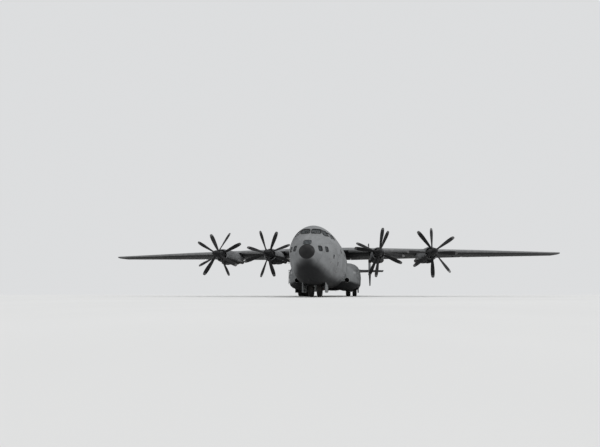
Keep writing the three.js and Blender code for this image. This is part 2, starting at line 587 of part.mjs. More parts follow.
function makeFairings() {
  const body = hull(10, 44, SEAM);
  const hatchway = box([-HATCH.ahead - 0.1, HATCH.ahead + 0.1], [RAMP_HINGE_S - 0.1, 43], [0, 9]);
  for (const [name, side] of SIDES) {
    const across = (x) => (side > 0 ? x : [-x[1], -x[0]]);
    const [mouth, throat] = [INTAKE.from, INTAKE.to].map(([x, s, z]) => point(side * x, s, z));
    const intake = bar(mouth, throat, INTAKE.radius, INTAKE.sides);
    const doorway = box(across([3.7, 5.4]), CREW_DOOR.s, CREW_DOOR.z);
    const { s: [s0, s1], z: [z0, z1], hingeX } = CREW_DOOR;
    const lug = box(across([hingeX - 0.5, hingeX + 0.05]), [s0 - 0.1, s0 + 0.05], [z1 + 0.001, z1 + 0.06]);
    const inside = fairing(side, -FAIRING_SKIN).intersect(box([-9, 9], FAIRING_HOLLOW, [0, 9]));
    const shape = fairing(side)
      .add(lug)
      .subtract(inside)
      .subtract(body)
      .subtract(hatchway)
      .subtract(box(across(WHEEL_BAY.x), WHEEL_BAY.s, [0, WHEEL_BAY.top]))
      .subtract(intake)
      .subtract(doorway);
    place(`wheel_fairing_${name}`, shape, belly);

    const opening = box(across([3.7, 5.4]), [s0 + CLEAR, s1 - CLEAR], [z0 + CLEAR, z1 - CLEAR]);
    const hinge = (z) => point(side * hingeX, s0 + 0.03, z);
    const arm = (z) => box(across([4.5, hingeX]), [s0 + CLEAR, s0 + 0.1], [z - 0.05, z + 0.05]);
    const door = fairing(side)
      .subtract(fairing(side, -CREW_DOOR.thick))
      .intersect(opening)
      .add(bar(hinge(z0 + CLEAR), hinge(z1), 0.022, 8))
      .add(arm(z0 + 0.3))
      .add(arm(z1 - 0.3));
    place(`crew_door_${name}`, door, belly);

    // The door panels on one rail, hanging open along the wheels.
    const [b0, b1] = WHEEL_BAY.s;
    const { gap, count } = DOOR_PANEL;
    const step = (b1 - b0 - 2 * gap) / count;
    const rail = box(across(DOOR_RAIL.x), [b0, b1], DOOR_RAIL.z);
    const panels = Array.from({ length: count }, (_, i) =>
      box(across(DOOR_PANEL.x), [b0 + gap + i * step, b0 + (i + 1) * step], DOOR_PANEL.z),
    );
    const doors = joined([rail, ...panels]).subtract(fairing(side, SEAM));
    place(`main_gear_doors_${name}`, doors, belly);
  }
}

function tailplanePart(grow = 0) {
  const { from, to, hinge } = ELEVATOR;
  const tip = TAILPLANE[1].x;
  const cut = [[from, true], [from + CUT_STEP, false], [to - CUT_STEP, false], [to, true]];
  const half = [[0, true], ...cut, [tip, true]];
  const rows = [...half.slice(1).map(([x, full]) => [-x, full]).reverse(), ...half];
  return loft(
    rows.map(([x, full]) => {
      const at = surfaceSection(TAILPLANE, Math.abs(x));
      at.x = x;
      return surfaceRing(at, full ? 1 : trimShare(at, hinge), { grow });
    }),
  );
}

function makeWing() {
  const { root, middle, outer, tip } = FLAP_BREAKS;
  const slope = { camber: WING_CAMBER };
  let inner = wingPart(-outer, outer);
  for (const [, side] of SIDES) {
    for (const x of [middle, outer - RIB_HALF]) inner = inner.add(hingeRib(WING, x, FLAP_HINGE, side, slope));
  }
  place("wing_inner", inner, paint);
  for (const [name, side] of SIDES) {
    const panel = mirrored(wingPart(outer + SEAM, WING[2].x), side);
    place(`wing_outer_${name}`, panel, paint);
    const spans = [
      [`flap_inner_${name}`, root, middle - RIB_HALF + CUT_STEP],
      [`flap_outer_${name}`, middle + RIB_HALF - CUT_STEP, outer - RIB_HALF * 2 + CUT_STEP],
      [`aileron_${name}`, outer, tip],
    ];
    for (const [piece, from, to] of spans) {
      place(piece, mirrored(movingSurface(WING, from, to, FLAP_HINGE, slope), side), paint);
    }
  }
}

function makeTail() {
  place("tailplane", tailplanePart(), paint);
  const gap = ([low, high]) => [[low, true], [low + CUT_STEP, false], [high - CUT_STEP, false], [high, true]];
  const [foot, middle, top] = FIN.map((row) => [row.x, true]);
  const marks = [foot, ...gap(RUDDERS.lower), middle, ...gap(RUDDERS.upper), top];
  const rings = marks.map(([z, full]) => {
    const at = surfaceSection(FIN, z);
    return surfaceRing(at, full ? 1 : trimShare(at, RUDDER_HINGE), { upright: true });
  });
  const slot = tailplanePart(SEAM);
  for (const [name, side] of SIDES) {
    place(`fin_${name}`, mirrored(loft(rings), side).subtract(slot), paint);
    for (const [piece, [from, to]] of Object.entries(RUDDERS)) {
      const rudder = movingSurface(FIN, from, to, RUDDER_HINGE, { upright: true });
      place(`rudder_${piece}_${name}`, mirrored(rudder, side), paint);
    }
    const elevator = movingSurface(TAILPLANE, ELEVATOR.from, ELEVATOR.to, ELEVATOR.hinge);
    place(`elevator_${name}`, mirrored(elevator, side), paint);
  }
}

function turned(profile, sides) {
  const points = profile.map(([radius, along]) => new THREE.Vector2(radius, along));
  return new THREE.LatheGeometry(points, sides);
}

function blade(angle, hand) {
  const rings = BLADE.map(([radius, chord, thick, pitch]) => {
    const tilt = THREE.MathUtils.degToRad(pitch);
    return BLADE_OUTLINE.map(([along, out]) => {
      const [a, b] = [along * chord, out * thick];
      const across = hand * (a * Math.cos(tilt) - b * Math.sin(tilt));
      return point(radius, a * Math.sin(tilt) + b * Math.cos(tilt), across);
    });
  });
  const turn = new THREE.Matrix4().makeRotationY(-THREE.MathUtils.degToRad(angle));
  return loft(rings.map((ring) => ring.map((p) => p.applyMatrix4(turn))));
}

function propeller(profile, station, angle, hand, x) {
  const hub = solid(turned(profile, 12));
  const blades = Array.from({ length: PROP.blades }, (_, i) =>
    blade(angle + (i * 360) / PROP.blades, hand).translate([0, station, 0]),
  );
  return joined([hub, ...blades]).translate([x, 0, HUB_Z]);
}

function makeEngines() {
  const wing = wingPart(-FLAP_BREAKS.outer, FLAP_BREAKS.outer, SEAM);
  for (const [row, distance] of Object.entries(ENGINE_X)) {
    for (const [name, side] of SIDES) {
      const x = side * distance;
      const key = `${row}_${name}`;
      const body = loft(
        NACELLE.map(([s, half, keel, top]) =>
          ovalRing(s, x, half, keel, top, (keel + top) / 2, NACELLE_SQUARE, NACELLE_POINTS),
        ),
      );
      const mouth = solid(turned(NACELLE_MOUTH, NACELLE_POINTS)).translate([x, 0, HUB_Z]);
      const noseCase = solid(turned(GEARBOX, 12)).translate([x, 0, HUB_Z]);
      const pipes = [-1, 1].map((out) => {
        const at = (s) => point(x + out * EXHAUST.x, s, EXHAUST.z);
        const pipe = bar(at(EXHAUST.from), at(EXHAUST.to), EXHAUST.radius, 8);
        return [pipe, bar(at(EXHAUST.to - 0.25), at(EXHAUST.to + 1), EXHAUST.radius - 0.05, 8)];
      });
      let nacelle = body.subtract(mouth).add(noseCase);
      for (const [pipe, hollow] of pipes) nacelle = nacelle.add(pipe).subtract(hollow);
      place(`nacelle_${key}`, nacelle.subtract(wing), paint);
      const [front, rear] = BLADE_ANGLES[key];
      place(`propeller_front_${key}`, propeller(FRONT_HUB, PROP.front, front, 1, x), dark);
      place(`propeller_rear_${key}`, propeller(REAR_HUB, PROP.rear, rear, -1, x), dark);
    }
  }
}

// Two wheels on one axle, turned about x, standing on a flat of their outline.
function wheelPair(spec, s, x) {
  const { radius: r, width: w, spread } = spec;
  const half = w / 2;
  const tyre = [[AXLE_R, spread - half * 0.7], ...TYRE.map(([a, b]) => [a * r, spread + b * half])];
  const profile = [...tyre.map(([a, b]) => [a, -b]).reverse(), ...tyre];
  const geometry = turned(profile, WHEEL_SIDES);
  geometry.rotateY(Math.PI / WHEEL_SIDES);
  geometry.rotateZ(-Math.PI / 2);
  return solid(geometry).translate([x, s, axleHeight(spec)]);
}

const axleHeight = (spec) => spec.radius * Math.cos(Math.PI / WHEEL_SIDES);

function axleEye(spec, s, x) {
  const { inner, outer, half, sides } = EYE;
  const outline = [[inner, -half], [outer, -half], [outer, half], [inner, half], [inner, -half]];
  const geometry = turned(outline, sides);
  geometry.rotateY(-Math.PI / WHEEL_SIDES);
  geometry.rotateZ(-Math.PI / 2);
  return solid(geometry).translate([x, s, axleHeight(spec)]);
}

function makeMainGear() {
  for (const [name, side] of SIDES) {
    const x = side * MAIN_GEAR.x;
    const z = axleHeight(MAIN_WHEEL);
    const top = WHEEL_BAY.top - SEAM;
    const [b0, b1] = WHEEL_BAY.s;
    const { radius, ahead, foot, beam } = MAIN_LEG;
    const bay = [b0 + beam.inset, b1 - beam.inset];
    const head = top - beam.deep / 2;
    const parts = [box([x - beam.half, x + beam.half], bay, [top - beam.deep, top])];
    for (const s of MAIN_GEAR.stations) {
      const knee = s - ahead;
      const { half, z: [low, high], end } = MAIN_ARM;
      const arm = [[knee, low], [s - end, z - half], [s - end, z + half], [knee, high]];
      const block = MAIN_KNEE.s.map((shift) => knee + shift);
      parts.push(
        bar(point(x, knee, head), point(x, knee, foot), radius, 8),
        box([x - MAIN_KNEE.half, x + MAIN_KNEE.half], block, MAIN_KNEE.z),
        sideProfile(arm, [x - half, x + half]),
        axleEye(MAIN_WHEEL, s, x),
        bar(point(x, knee + BRACE.ahead, BRACE.low), point(x, s + BRACE.behind, head), BRACE.radius, 6),
      );
    }
    place(`main_gear_legs_${name}`, joined(parts), steel);
    MAIN_GEAR.stations.forEach((s, i) => {
      place(`main_wheels_${name}_${i + 1}`, wheelPair(MAIN_WHEEL, s, x), rubber);
    });
  }
}

function makeNoseGear() {
  const { half, s, top, wall } = NOSE_BAY;
  const { pivot, foot, radius } = NOSE_LEG;
  const inside = hollow(HOLLOW.nose, SEAM);
  const housing = joined([
    bar(point(0, STEER_S, pivot), point(0, STEER_S, top), NOSE_LEG.housing, 12),
    bar(point(0, STEER_S, NOSE_BRACE.z[0]), point(0, s[1] + CLEAR, NOSE_BRACE.z[1]), NOSE_BRACE.radius, 8),
  ]);
  const bay = box([-half - wall, half + wall], [s[0] - wall, s[1] + wall], [1, top + wall])
    .subtract(box([-half, half], s, [0.5, top]))
    .intersect(inside)
    .add(housing);
  place("nose_gear_bay", bay, belly);

  const z = axleHeight(NOSE_WHEEL);
  const { ahead, z: [low, high], end, deep } = NOSE_FORK;
  const [root, tip] = [STEER_S - ahead, NOSE_AXLE_S - end];
  const across = [-NOSE_KNEE.half, NOSE_KNEE.half];
  const leg = joined([
    bar(point(0, STEER_S, pivot - SEAM), point(0, STEER_S, foot), radius, 12),
    box(across, NOSE_KNEE.s.map((shift) => STEER_S + shift), NOSE_KNEE.z),
    sideProfile([[root, low], [tip, z - deep], [tip, z + deep], [root, high]], across),
    axleEye(NOSE_WHEEL, NOSE_AXLE_S, 0),
  ]);
  place("nose_gear_leg", leg, steel);
  place("nose_wheels", wheelPair(NOSE_WHEEL, NOSE_AXLE_S, 0), rubber);
  for (const [name, side] of SIDES) {
    const shape = box(NOSE_DOOR.out.map((shift) => half + shift), s, NOSE_DOOR.z);
    place(`nose_gear_door_${name}`, mirrored(shape, side).subtract(hull(2, 10, SEAM)), belly);
  }
}

makeHull();
makeFairings();
makeWing();
makeTail();
makeEngines();
makeMainGear();
makeNoseGear();

export default aircraft;
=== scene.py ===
"""Dresses the half-size model of a four-engined military transport aircraft that stands on its wheels.

Sizes are in metres of the full-size aircraft: stations run aft from the nose tip, x to the aircraft's
left and z up from the ground. Shape.mesh turns them into the model's own metres.
"""

from __future__ import annotations

import logging
import math
from collections.abc import Iterable, Sequence
from dataclasses import dataclass, field
from enum import Enum
from typing import ClassVar, Protocol

import bmesh
import bpy
from mathutils import Matrix, Vector
from mathutils.bvhtree import BVHTree

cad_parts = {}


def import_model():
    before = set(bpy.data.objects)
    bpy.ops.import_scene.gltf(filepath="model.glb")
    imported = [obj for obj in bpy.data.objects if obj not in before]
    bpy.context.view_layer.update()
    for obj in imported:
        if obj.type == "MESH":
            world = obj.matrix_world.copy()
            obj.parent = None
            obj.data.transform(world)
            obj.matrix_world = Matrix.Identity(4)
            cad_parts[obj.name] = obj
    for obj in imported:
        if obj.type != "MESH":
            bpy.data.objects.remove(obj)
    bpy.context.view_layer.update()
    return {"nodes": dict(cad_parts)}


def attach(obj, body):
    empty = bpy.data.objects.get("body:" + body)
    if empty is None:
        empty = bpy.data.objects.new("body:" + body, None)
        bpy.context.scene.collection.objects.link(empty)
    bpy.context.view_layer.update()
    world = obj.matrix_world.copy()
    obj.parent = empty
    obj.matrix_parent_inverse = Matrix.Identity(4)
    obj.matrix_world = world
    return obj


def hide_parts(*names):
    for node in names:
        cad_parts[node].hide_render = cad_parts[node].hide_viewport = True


LOG = logging.getLogger("transport_aircraft")
SCALE = 0.5
LENGTH = 57.92
AIRFRAME = "airframe"
SIDES: tuple[tuple[str, int], ...] = (("left", 1), ("right", -1))
# Side distance of each engine, and of an exhaust pipe from its engine.
ENGINES: dict[str, float] = {"inner": 7.05, "outer": 13.6}
PIPE_X = 0.78
Colour = tuple[float, float, float]
Ring = list[Vector]
Values = tuple[float, ...]
Table = tuple[Values, ...]
Socket = bpy.types.NodeSocket


def vec(x: float, s: float, z: float) -> Vector:
    """Gives a point from its side distance, station and height."""
    return Vector((x, s, z))


OUT, AFT, UP = vec(1, 0, 0), vec(0, 1, 0), vec(0, 0, 1)


def to_model(point: Vector) -> Vector:
    """Turns a full-size point into the model's own metres."""
    return Vector((point.x * SCALE, (point.y - LENGTH / 2) * SCALE, point.z * SCALE))


def to_full(point: Vector) -> Vector:
    """Turns a point of the model into full-size metres."""
    return Vector((point.x / SCALE, point.y / SCALE + LENGTH / 2, point.z / SCALE))


def turns(count: int) -> list[float]:
    """Gives evenly spaced angles round a circle."""
    return [2 * math.pi * i / count for i in range(count)]


def between(start: float, end: float, count: int) -> list[float]:
    """Gives evenly spaced values from one number to another."""
    return [start + (end - start) * i / (count - 1) for i in range(count)]


def clamp(value: float, low: float = 0.0, high: float = 1.0) -> float:
    """Holds a value within its limits."""
    return min(high, max(low, value))


def circle(centre: Vector, side: Vector, other: Vector, radius: float, count: int) -> Ring:
    """Gives points round a circle that lies along two directions."""
    return [centre + (side * math.cos(a) + other * math.sin(a)) * radius for a in turns(count)]


def squared_oval(across: float, upwards: float, square: float, count: int) -> list[tuple[float, float]]:
    """Makes a flat outline between an ellipse and a rectangle.

    Args:
        across: Half its width.
        upwards: Half its height.
        square: 2 for an ellipse, and more for a squarer one.
        count: Number of points.

    Returns:
        The points, from the outline's middle.
    """
    outline = []
    for angle in turns(count):
        c, s = math.cos(angle), math.sin(angle)
        a = math.copysign(abs(c) ** (2 / square), c) * across
        outline.append((a, math.copysign(abs(s) ** (2 / square), s) * upwards))
    return outline


def grid_faces(n: int) -> tuple[list[tuple[int, ...]], list[int]]:
    """Numbers the points of a square grid.

    Args:
        n: Number of points each way.

    Returns:
        The points of each small square, and the points round the grid's edge.
    """
    last = n - 1
    quads = [(i, i + 1, i + n + 1, i + n) for j in range(last) for i in range(j * n, j * n + last)]
    edge = [*range(last), *range(last, n * n - 1, n)]
    edge += [*range(n * n - 1, last * n, -1), *range(last * n, 0, -n)]
    return quads, edge


def pipe_ring(before: Vector, at: Vector, after: Vector, lean: Vector, radius: float, count: int) -> Ring:
    """Makes one ring of a pipe, square to the way that the pipe runs.

    Args:
        before: The point before it.
        at: The ring's middle.
        after: The point after it.
        lean: A direction that the pipe never runs in.
        radius: The pipe's radius.
        count: Number of points.

    Returns:
        The ring's points.
    """
    along = (after - before).normalized()
    side = along.cross(lean).normalized()
    return circle(at, side, along.cross(side), radius, count)


def curve_value(rows: Sequence[Sequence[float]], at: float, column: int) -> float:
    """Reads one column of a table along a smooth curve that never overshoots.

    Args:
        rows: The table, whose first column rises.
        at: The place in the first column.
        column: The column that is wanted.

    Returns:
        The value there.
    """
    steps = [b[0] - a[0] for a, b in zip(rows, rows[1:])]
    slopes = [(b[column] - a[column]) / step for a, b, step in zip(rows, rows[1:], steps)]
    inner = [0.0 if a * b <= 0 else 2 * a * b / (a + b) for a, b in zip(slopes, slopes[1:])]
    tangents = [slopes[0], *inner, slopes[-1]]
    index = max(0, min(len(rows) - 2, sum(1 for row in rows if row[0] <= at) - 1))
    step = steps[index]
    t = clamp((at - rows[index][0]) / step)
    return (
        (2 * t**3 - 3 * t**2 + 1) * rows[index][column]
        + (t**3 - 2 * t**2 + t) * step * tangents[index]
        + (3 * t**2 - 2 * t**3) * rows[index + 1][column]
        + (t**3 - t**2) * step * tangents[index + 1]
    )


def oval(s: float, centre: float, half: float, keel: float, roof: float, widest: float,
         square: float, count: int, upper_square: float = 2.0) -> Ring:
    """Makes one superellipse ring, round above and with its own squareness below.

    Args:
        s: Station.
        centre: Side distance of the middle.
        half: Half width.
        keel: Lowest height.
        roof: Highest height.
        widest: Height of the widest point.
        square: Squareness of the lower half.
        count: Number of points.
        upper_square: Squareness of the upper half.

    Returns:
        The ring's points.
    """
    ring = []
    for angle in turns(count):
        side, up = math.sin(angle), math.cos(angle)
        power = 2 / (square if up < 0 else upper_square)
        height = widest - keel if up < 0 else roof - widest
        x = centre + half * math.copysign(abs(side) ** power, side)
        ring.append(vec(x, s, widest + height * math.copysign(abs(up) ** power, up)))
    return ring


# Hull sections: station, half width, keel, roof, height of the widest point, squareness below it.
HULL_ROWS: Table = (
    (0.0, 0.06, 3.66, 3.78, 3.72, 2.0),
    (0.12, 0.4, 3.34, 4.08, 3.72, 2.0),
    (0.5, 0.88, 2.9, 4.5, 3.74, 2.0),
    (1.2, 1.38, 2.34, 4.98, 3.8, 2.0),
    (2.2, 1.8, 1.84, 5.5, 3.88, 2.05),
    (3.2, 2.05, 1.5, 6.34, 3.94, 2.1),
    (4.4, 2.24, 1.25, 6.76, 4.0, 2.2),
    (5.8, 2.42, 1.1, 6.94, 4.03, 2.3),
    (7.6, 2.63, 1.0, 7.02, 4.05, 2.4),
    (10.0, 2.82, 0.96, 7.05, 4.05, 2.5),
    (13.5, 3.0, 0.95, 7.07, 4.05, 2.6),
    (35.6, 3.0, 0.95, 7.07, 4.05, 2.6),
    (40.0, 2.98, 1.5, 7.05, 4.25, 2.6),
    (44.0, 2.92, 2.13, 7.0, 4.5, 2.6),
    (48.0, 2.72, 2.77, 6.9, 4.8, 2.6),
    (51.5, 2.45, 3.33, 6.74, 5.0, 2.65),
    (54.4, 2.2, 3.82, 6.5, 5.12, 2.7),
    (56.3, 1.8, 4.2, 6.18, 5.18, 2.7),
    (57.4, 1.15, 4.62, 5.82, 5.2, 2.5),
    (57.92, 0.35, 5.02, 5.4, 5.21, 2.2),
)
# The hump over the wing's centre section: station, half width, roof.
HUMP_ROWS: Table = (
    (16.6, 0.6, 6.9),
    (16.8, 0.8, 6.95),
    (18.6, 1.8, 7.3),
    (20.6, 2.35, 7.52),
    (26.5, 2.35, 7.5),
    (29.8, 1.8, 7.3),
    (32.4, 0.8, 6.95),
    (32.6, 0.6, 6.9),
)
# Nacelle sections: station, half width, underside, top.
NACELLE_ROWS: Table = (
    (15.5, 0.8, 4.55, 6.15),
    (15.9, 0.86, 4.48, 6.22),
    (17.6, 0.88, 4.42, 6.3),
    (19.4, 0.87, 4.44, 6.4),
    (21.0, 0.84, 4.56, 6.5),
    (22.4, 0.72, 4.95, 6.45),
    (23.4, 0.5, 5.45, 6.3),
    (24.1, 0.25, 5.85, 6.15),
)
# Propeller blade sections: radius, chord, thickness, pitch in degrees.
BLADE_ROWS: Table = (
    (0.34, 0.24, 0.2, 62.0),
    (0.6, 0.25, 0.17, 58.0),
    (1.0, 0.38, 0.11, 53.0),
    (1.6, 0.47, 0.075, 43.0),
    (2.3, 0.52, 0.05, 34.0),
    (2.8, 0.45, 0.035, 29.5),
    (3.1, 0.3, 0.025, 27.0),
)


@dataclass(frozen=True)
class Row:
    """One section of a wing, tailplane or fin."""

    x: float
    le: float
    z: float
    chord: float
    thick: float
    pitch: float


@dataclass(frozen=True)
class Surface:
    """A wing, tailplane or fin, read from its table of sections."""

    rows: tuple[Row, ...]
    camber: float = 0.0
    upright: bool = False

    def row(self, x: float) -> Row:
        """Works out the section at a distance along the span.

        Args:
            x: The distance.

        Returns:
            The section there.
        """
        i = 1 if len(self.rows) > 2 and x > self.rows[1].x else 0
        a, b = self.rows[i], self.rows[i + 1]
        t = max(0.0, (x - a.x) / (b.x - a.x))
        names = ("le", "z", "chord", "thick", "pitch")
        return Row(x, *(getattr(a, n) + (getattr(b, n) - getattr(a, n)) * t for n in names))

    def half_thickness(self, share: float, thick: float) -> float:
        """Gives half the section's thickness as a share of its chord."""
        form = (0.2969 * math.sqrt(share) - 0.126 * share - 0.3516 * share**2 + 0.2843 * share**3
                - 0.1036 * share**4)
        return 5 * thick * form + 0.0015

    def point(self, x: float, share: float, level: int = 0, lift: float = 0.0) -> Vector:
        """Gives a point on the section.

        Args:
            x: Distance along the span.
            share: Share of the chord aft of the leading edge.
            level: 1 for the upper skin, -1 for the lower one, 0 for the middle.
            lift: Distance off the skin.

        Returns:
            The point, on the aircraft's left side.
        """
        at = self.row(x)
        up = 4 * self.camber * share * (1 - share)
        up += level * (self.half_thickness(share, at.thick) + lift / at.chord)
        pitch = math.radians(at.pitch)
        aft = at.chord * (share * math.cos(pitch) + up * math.sin(pitch))
        rise = at.chord * (up * math.cos(pitch) - share * math.sin(pitch))
        if self.upright:
            return vec(at.z + rise, at.le + aft, at.x)
        return vec(at.x, at.le + aft, at.z + rise)

    def ring(self, x: float, shares: Sequence[float], lift: float = 0.0) -> Ring:
        """Gives the section's outline, aft over the upper skin and forward along the lower one."""
        upper = [self.point(x, share, 1, lift) for share in shares]
        return upper + [self.point(x, share, -1, lift) for share in shares[::-1]]


WING = Surface((
    Row(3.1, 20.0, 6.45, 8.1, 0.15, 4.0),
    Row(20.4, 20.55, 6.17, 4.8, 0.14, 3.4),
    Row(32.2, 20.75, 5.84, 2.35, 0.12, 2.6),
), camber=0.018)
TAILPLANE = Surface((Row(0.0, 49.6, 5.85, 6.1, 0.095, 3.0), Row(11.0, 52.2, 5.85, 3.3, 0.085, 3.0)))
FIN = Surface((
    Row(2.3, 52.0, 7.72, 3.0, 0.085, 0.0),
    Row(5.85, 49.5, 7.72, 6.5, 0.09, 0.0),
    Row(12.53, 53.3, 7.72, 2.85, 0.085, 0.0),
), upright=True)


class Skin:
    """A surface that small pieces are laid on."""

    def __init__(self, vertices: Sequence[Vector], faces: Sequence[Sequence[int]]) -> None:
        """Keeps the surface ready to be touched from any side."""
        self.tree = BVHTree.FromPolygons(vertices, faces)

    @classmethod
    def of_node(cls, node: bpy.types.Object) -> Skin:
        """Reads the surface of a carried-over solid."""
        vertices = [to_full(v.co) for v in node.data.vertices]
        return cls(vertices, [tuple(p.vertices) for p in node.data.polygons])

    def touch(self, origin: Vector, direction: Vector) -> tuple[Vector, Vector]:
        """Finds where a line meets the surface.

        Args:
            origin: Where the line starts, off the surface.
            direction: Where it runs.

        Returns:
            The point that it meets and the surface's outward direction there.
        """
        where, normal, _, _ = self.tree.ray_cast(origin, direction)
        if where is None:
            where, normal, _, _ = self.tree.find_nearest(origin)
        return where, -normal if normal.dot(direction) > 0 else normal

    def meet(self, origin: Vector, direction: Vector) -> Vector:
        """Gives only the point where a line meets the surface."""
        return self.touch(origin, direction)[0]

    def over(self, spot: Spot, across: float, upwards: float, lift: float) -> Vector:
        """Finds a point that stands off the surface.

        Args:
            spot: The place that it is counted from.
            across: How far it lies sideways of the spot's middle.
            upwards: How far it lies above it.
            lift: How far it stands off the surface.

        Returns:
            The point.
        """
        side, up = spot.axes()
        where, normal = self.touch(spot.middle + side * across + up * upwards, spot.toward)
        return where + normal * lift


@dataclass(frozen=True)
class Spot:
    """A place seen from outside a skin: its middle, the way towards the skin, and what is up."""

    middle: Vector
    toward: Vector
    up: Vector = field(default_factory=UP.copy)

    def axes(self) -> tuple[Vector, Vector]:
        """Gives the sideways and upward directions across the spot."""
        side = self.toward.cross(self.up).normalized()
        return side, side.cross(self.toward).normalized()


class Slot(Enum):
    """The record's material slots."""

    PAINT = "airframe_paint"
    DARK = "dark_composite"
    STEEL = "leg_steel"
    GLAZING = "glazing"
    RUBBER = "tyre_rubber"
    PROPELLER = "propeller_metal"
    DECK = "deck"


@dataclass(frozen=True)
class Finish:
    """A material that is ready to use, with the record's slot that it belongs to."""

    material: bpy.types.Material
    slot: Slot


def stand(name: str, data: bpy.types.ID) -> bpy.types.Object:
    """Makes an object and puts it in the scene.

    Args:
        name: Its name.
        data: Its mesh, lamp or camera.

    Returns:
        The object.
    """
    made = bpy.data.objects.new(name, data)
    bpy.context.scene.collection.objects.link(made)
    return made


def hang(name: str, mesh: bpy.types.Mesh, finishes: Sequence[Finish], body: str = AIRFRAME,
         stands_for: str = "") -> bpy.types.Object:
    """Makes a piece from its mesh and hangs it on its body.

    Args:
        name: The piece's name.
        mesh: Its mesh, in the model's metres.
        finishes: Its finishes, by the number of each face's material.
        body: The body that it rides on.
        stands_for: The carried-over solid that it replaces, where it does.

    Returns:
        The object.
    """
    piece = stand(name, mesh)
    for finish in finishes:
        mesh.materials.append(finish.material)
    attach(piece, body)
    if stands_for:
        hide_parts(stands_for)
    LOG.info("piece %s: %d faces", name, len(mesh.polygons))
    return piece


def soften(mesh: bpy.types.Mesh, crease: float, weld: bool = False) -> None:
    """Shades a mesh smooth, apart from its sharp edges.

    Args:
        mesh: The mesh.
        crease: Angle in degrees past which an edge stays sharp.
        weld: Whether points that coincide are joined and the faces turned outwards first.
    """
    work = bmesh.new()
    work.from_mesh(mesh)
    if weld:
        bmesh.ops.remove_doubles(work, verts=work.verts, dist=1e-5)
        bmesh.ops.recalc_face_normals(work, faces=work.faces)
    limit = math.radians(crease)
    for face in work.faces:
        face.smooth = True
    for edge in work.edges:
        edge.smooth = len(edge.link_faces) == 2 and edge.calc_face_angle(0.0) < limit
    work.to_mesh(mesh)
    work.free()


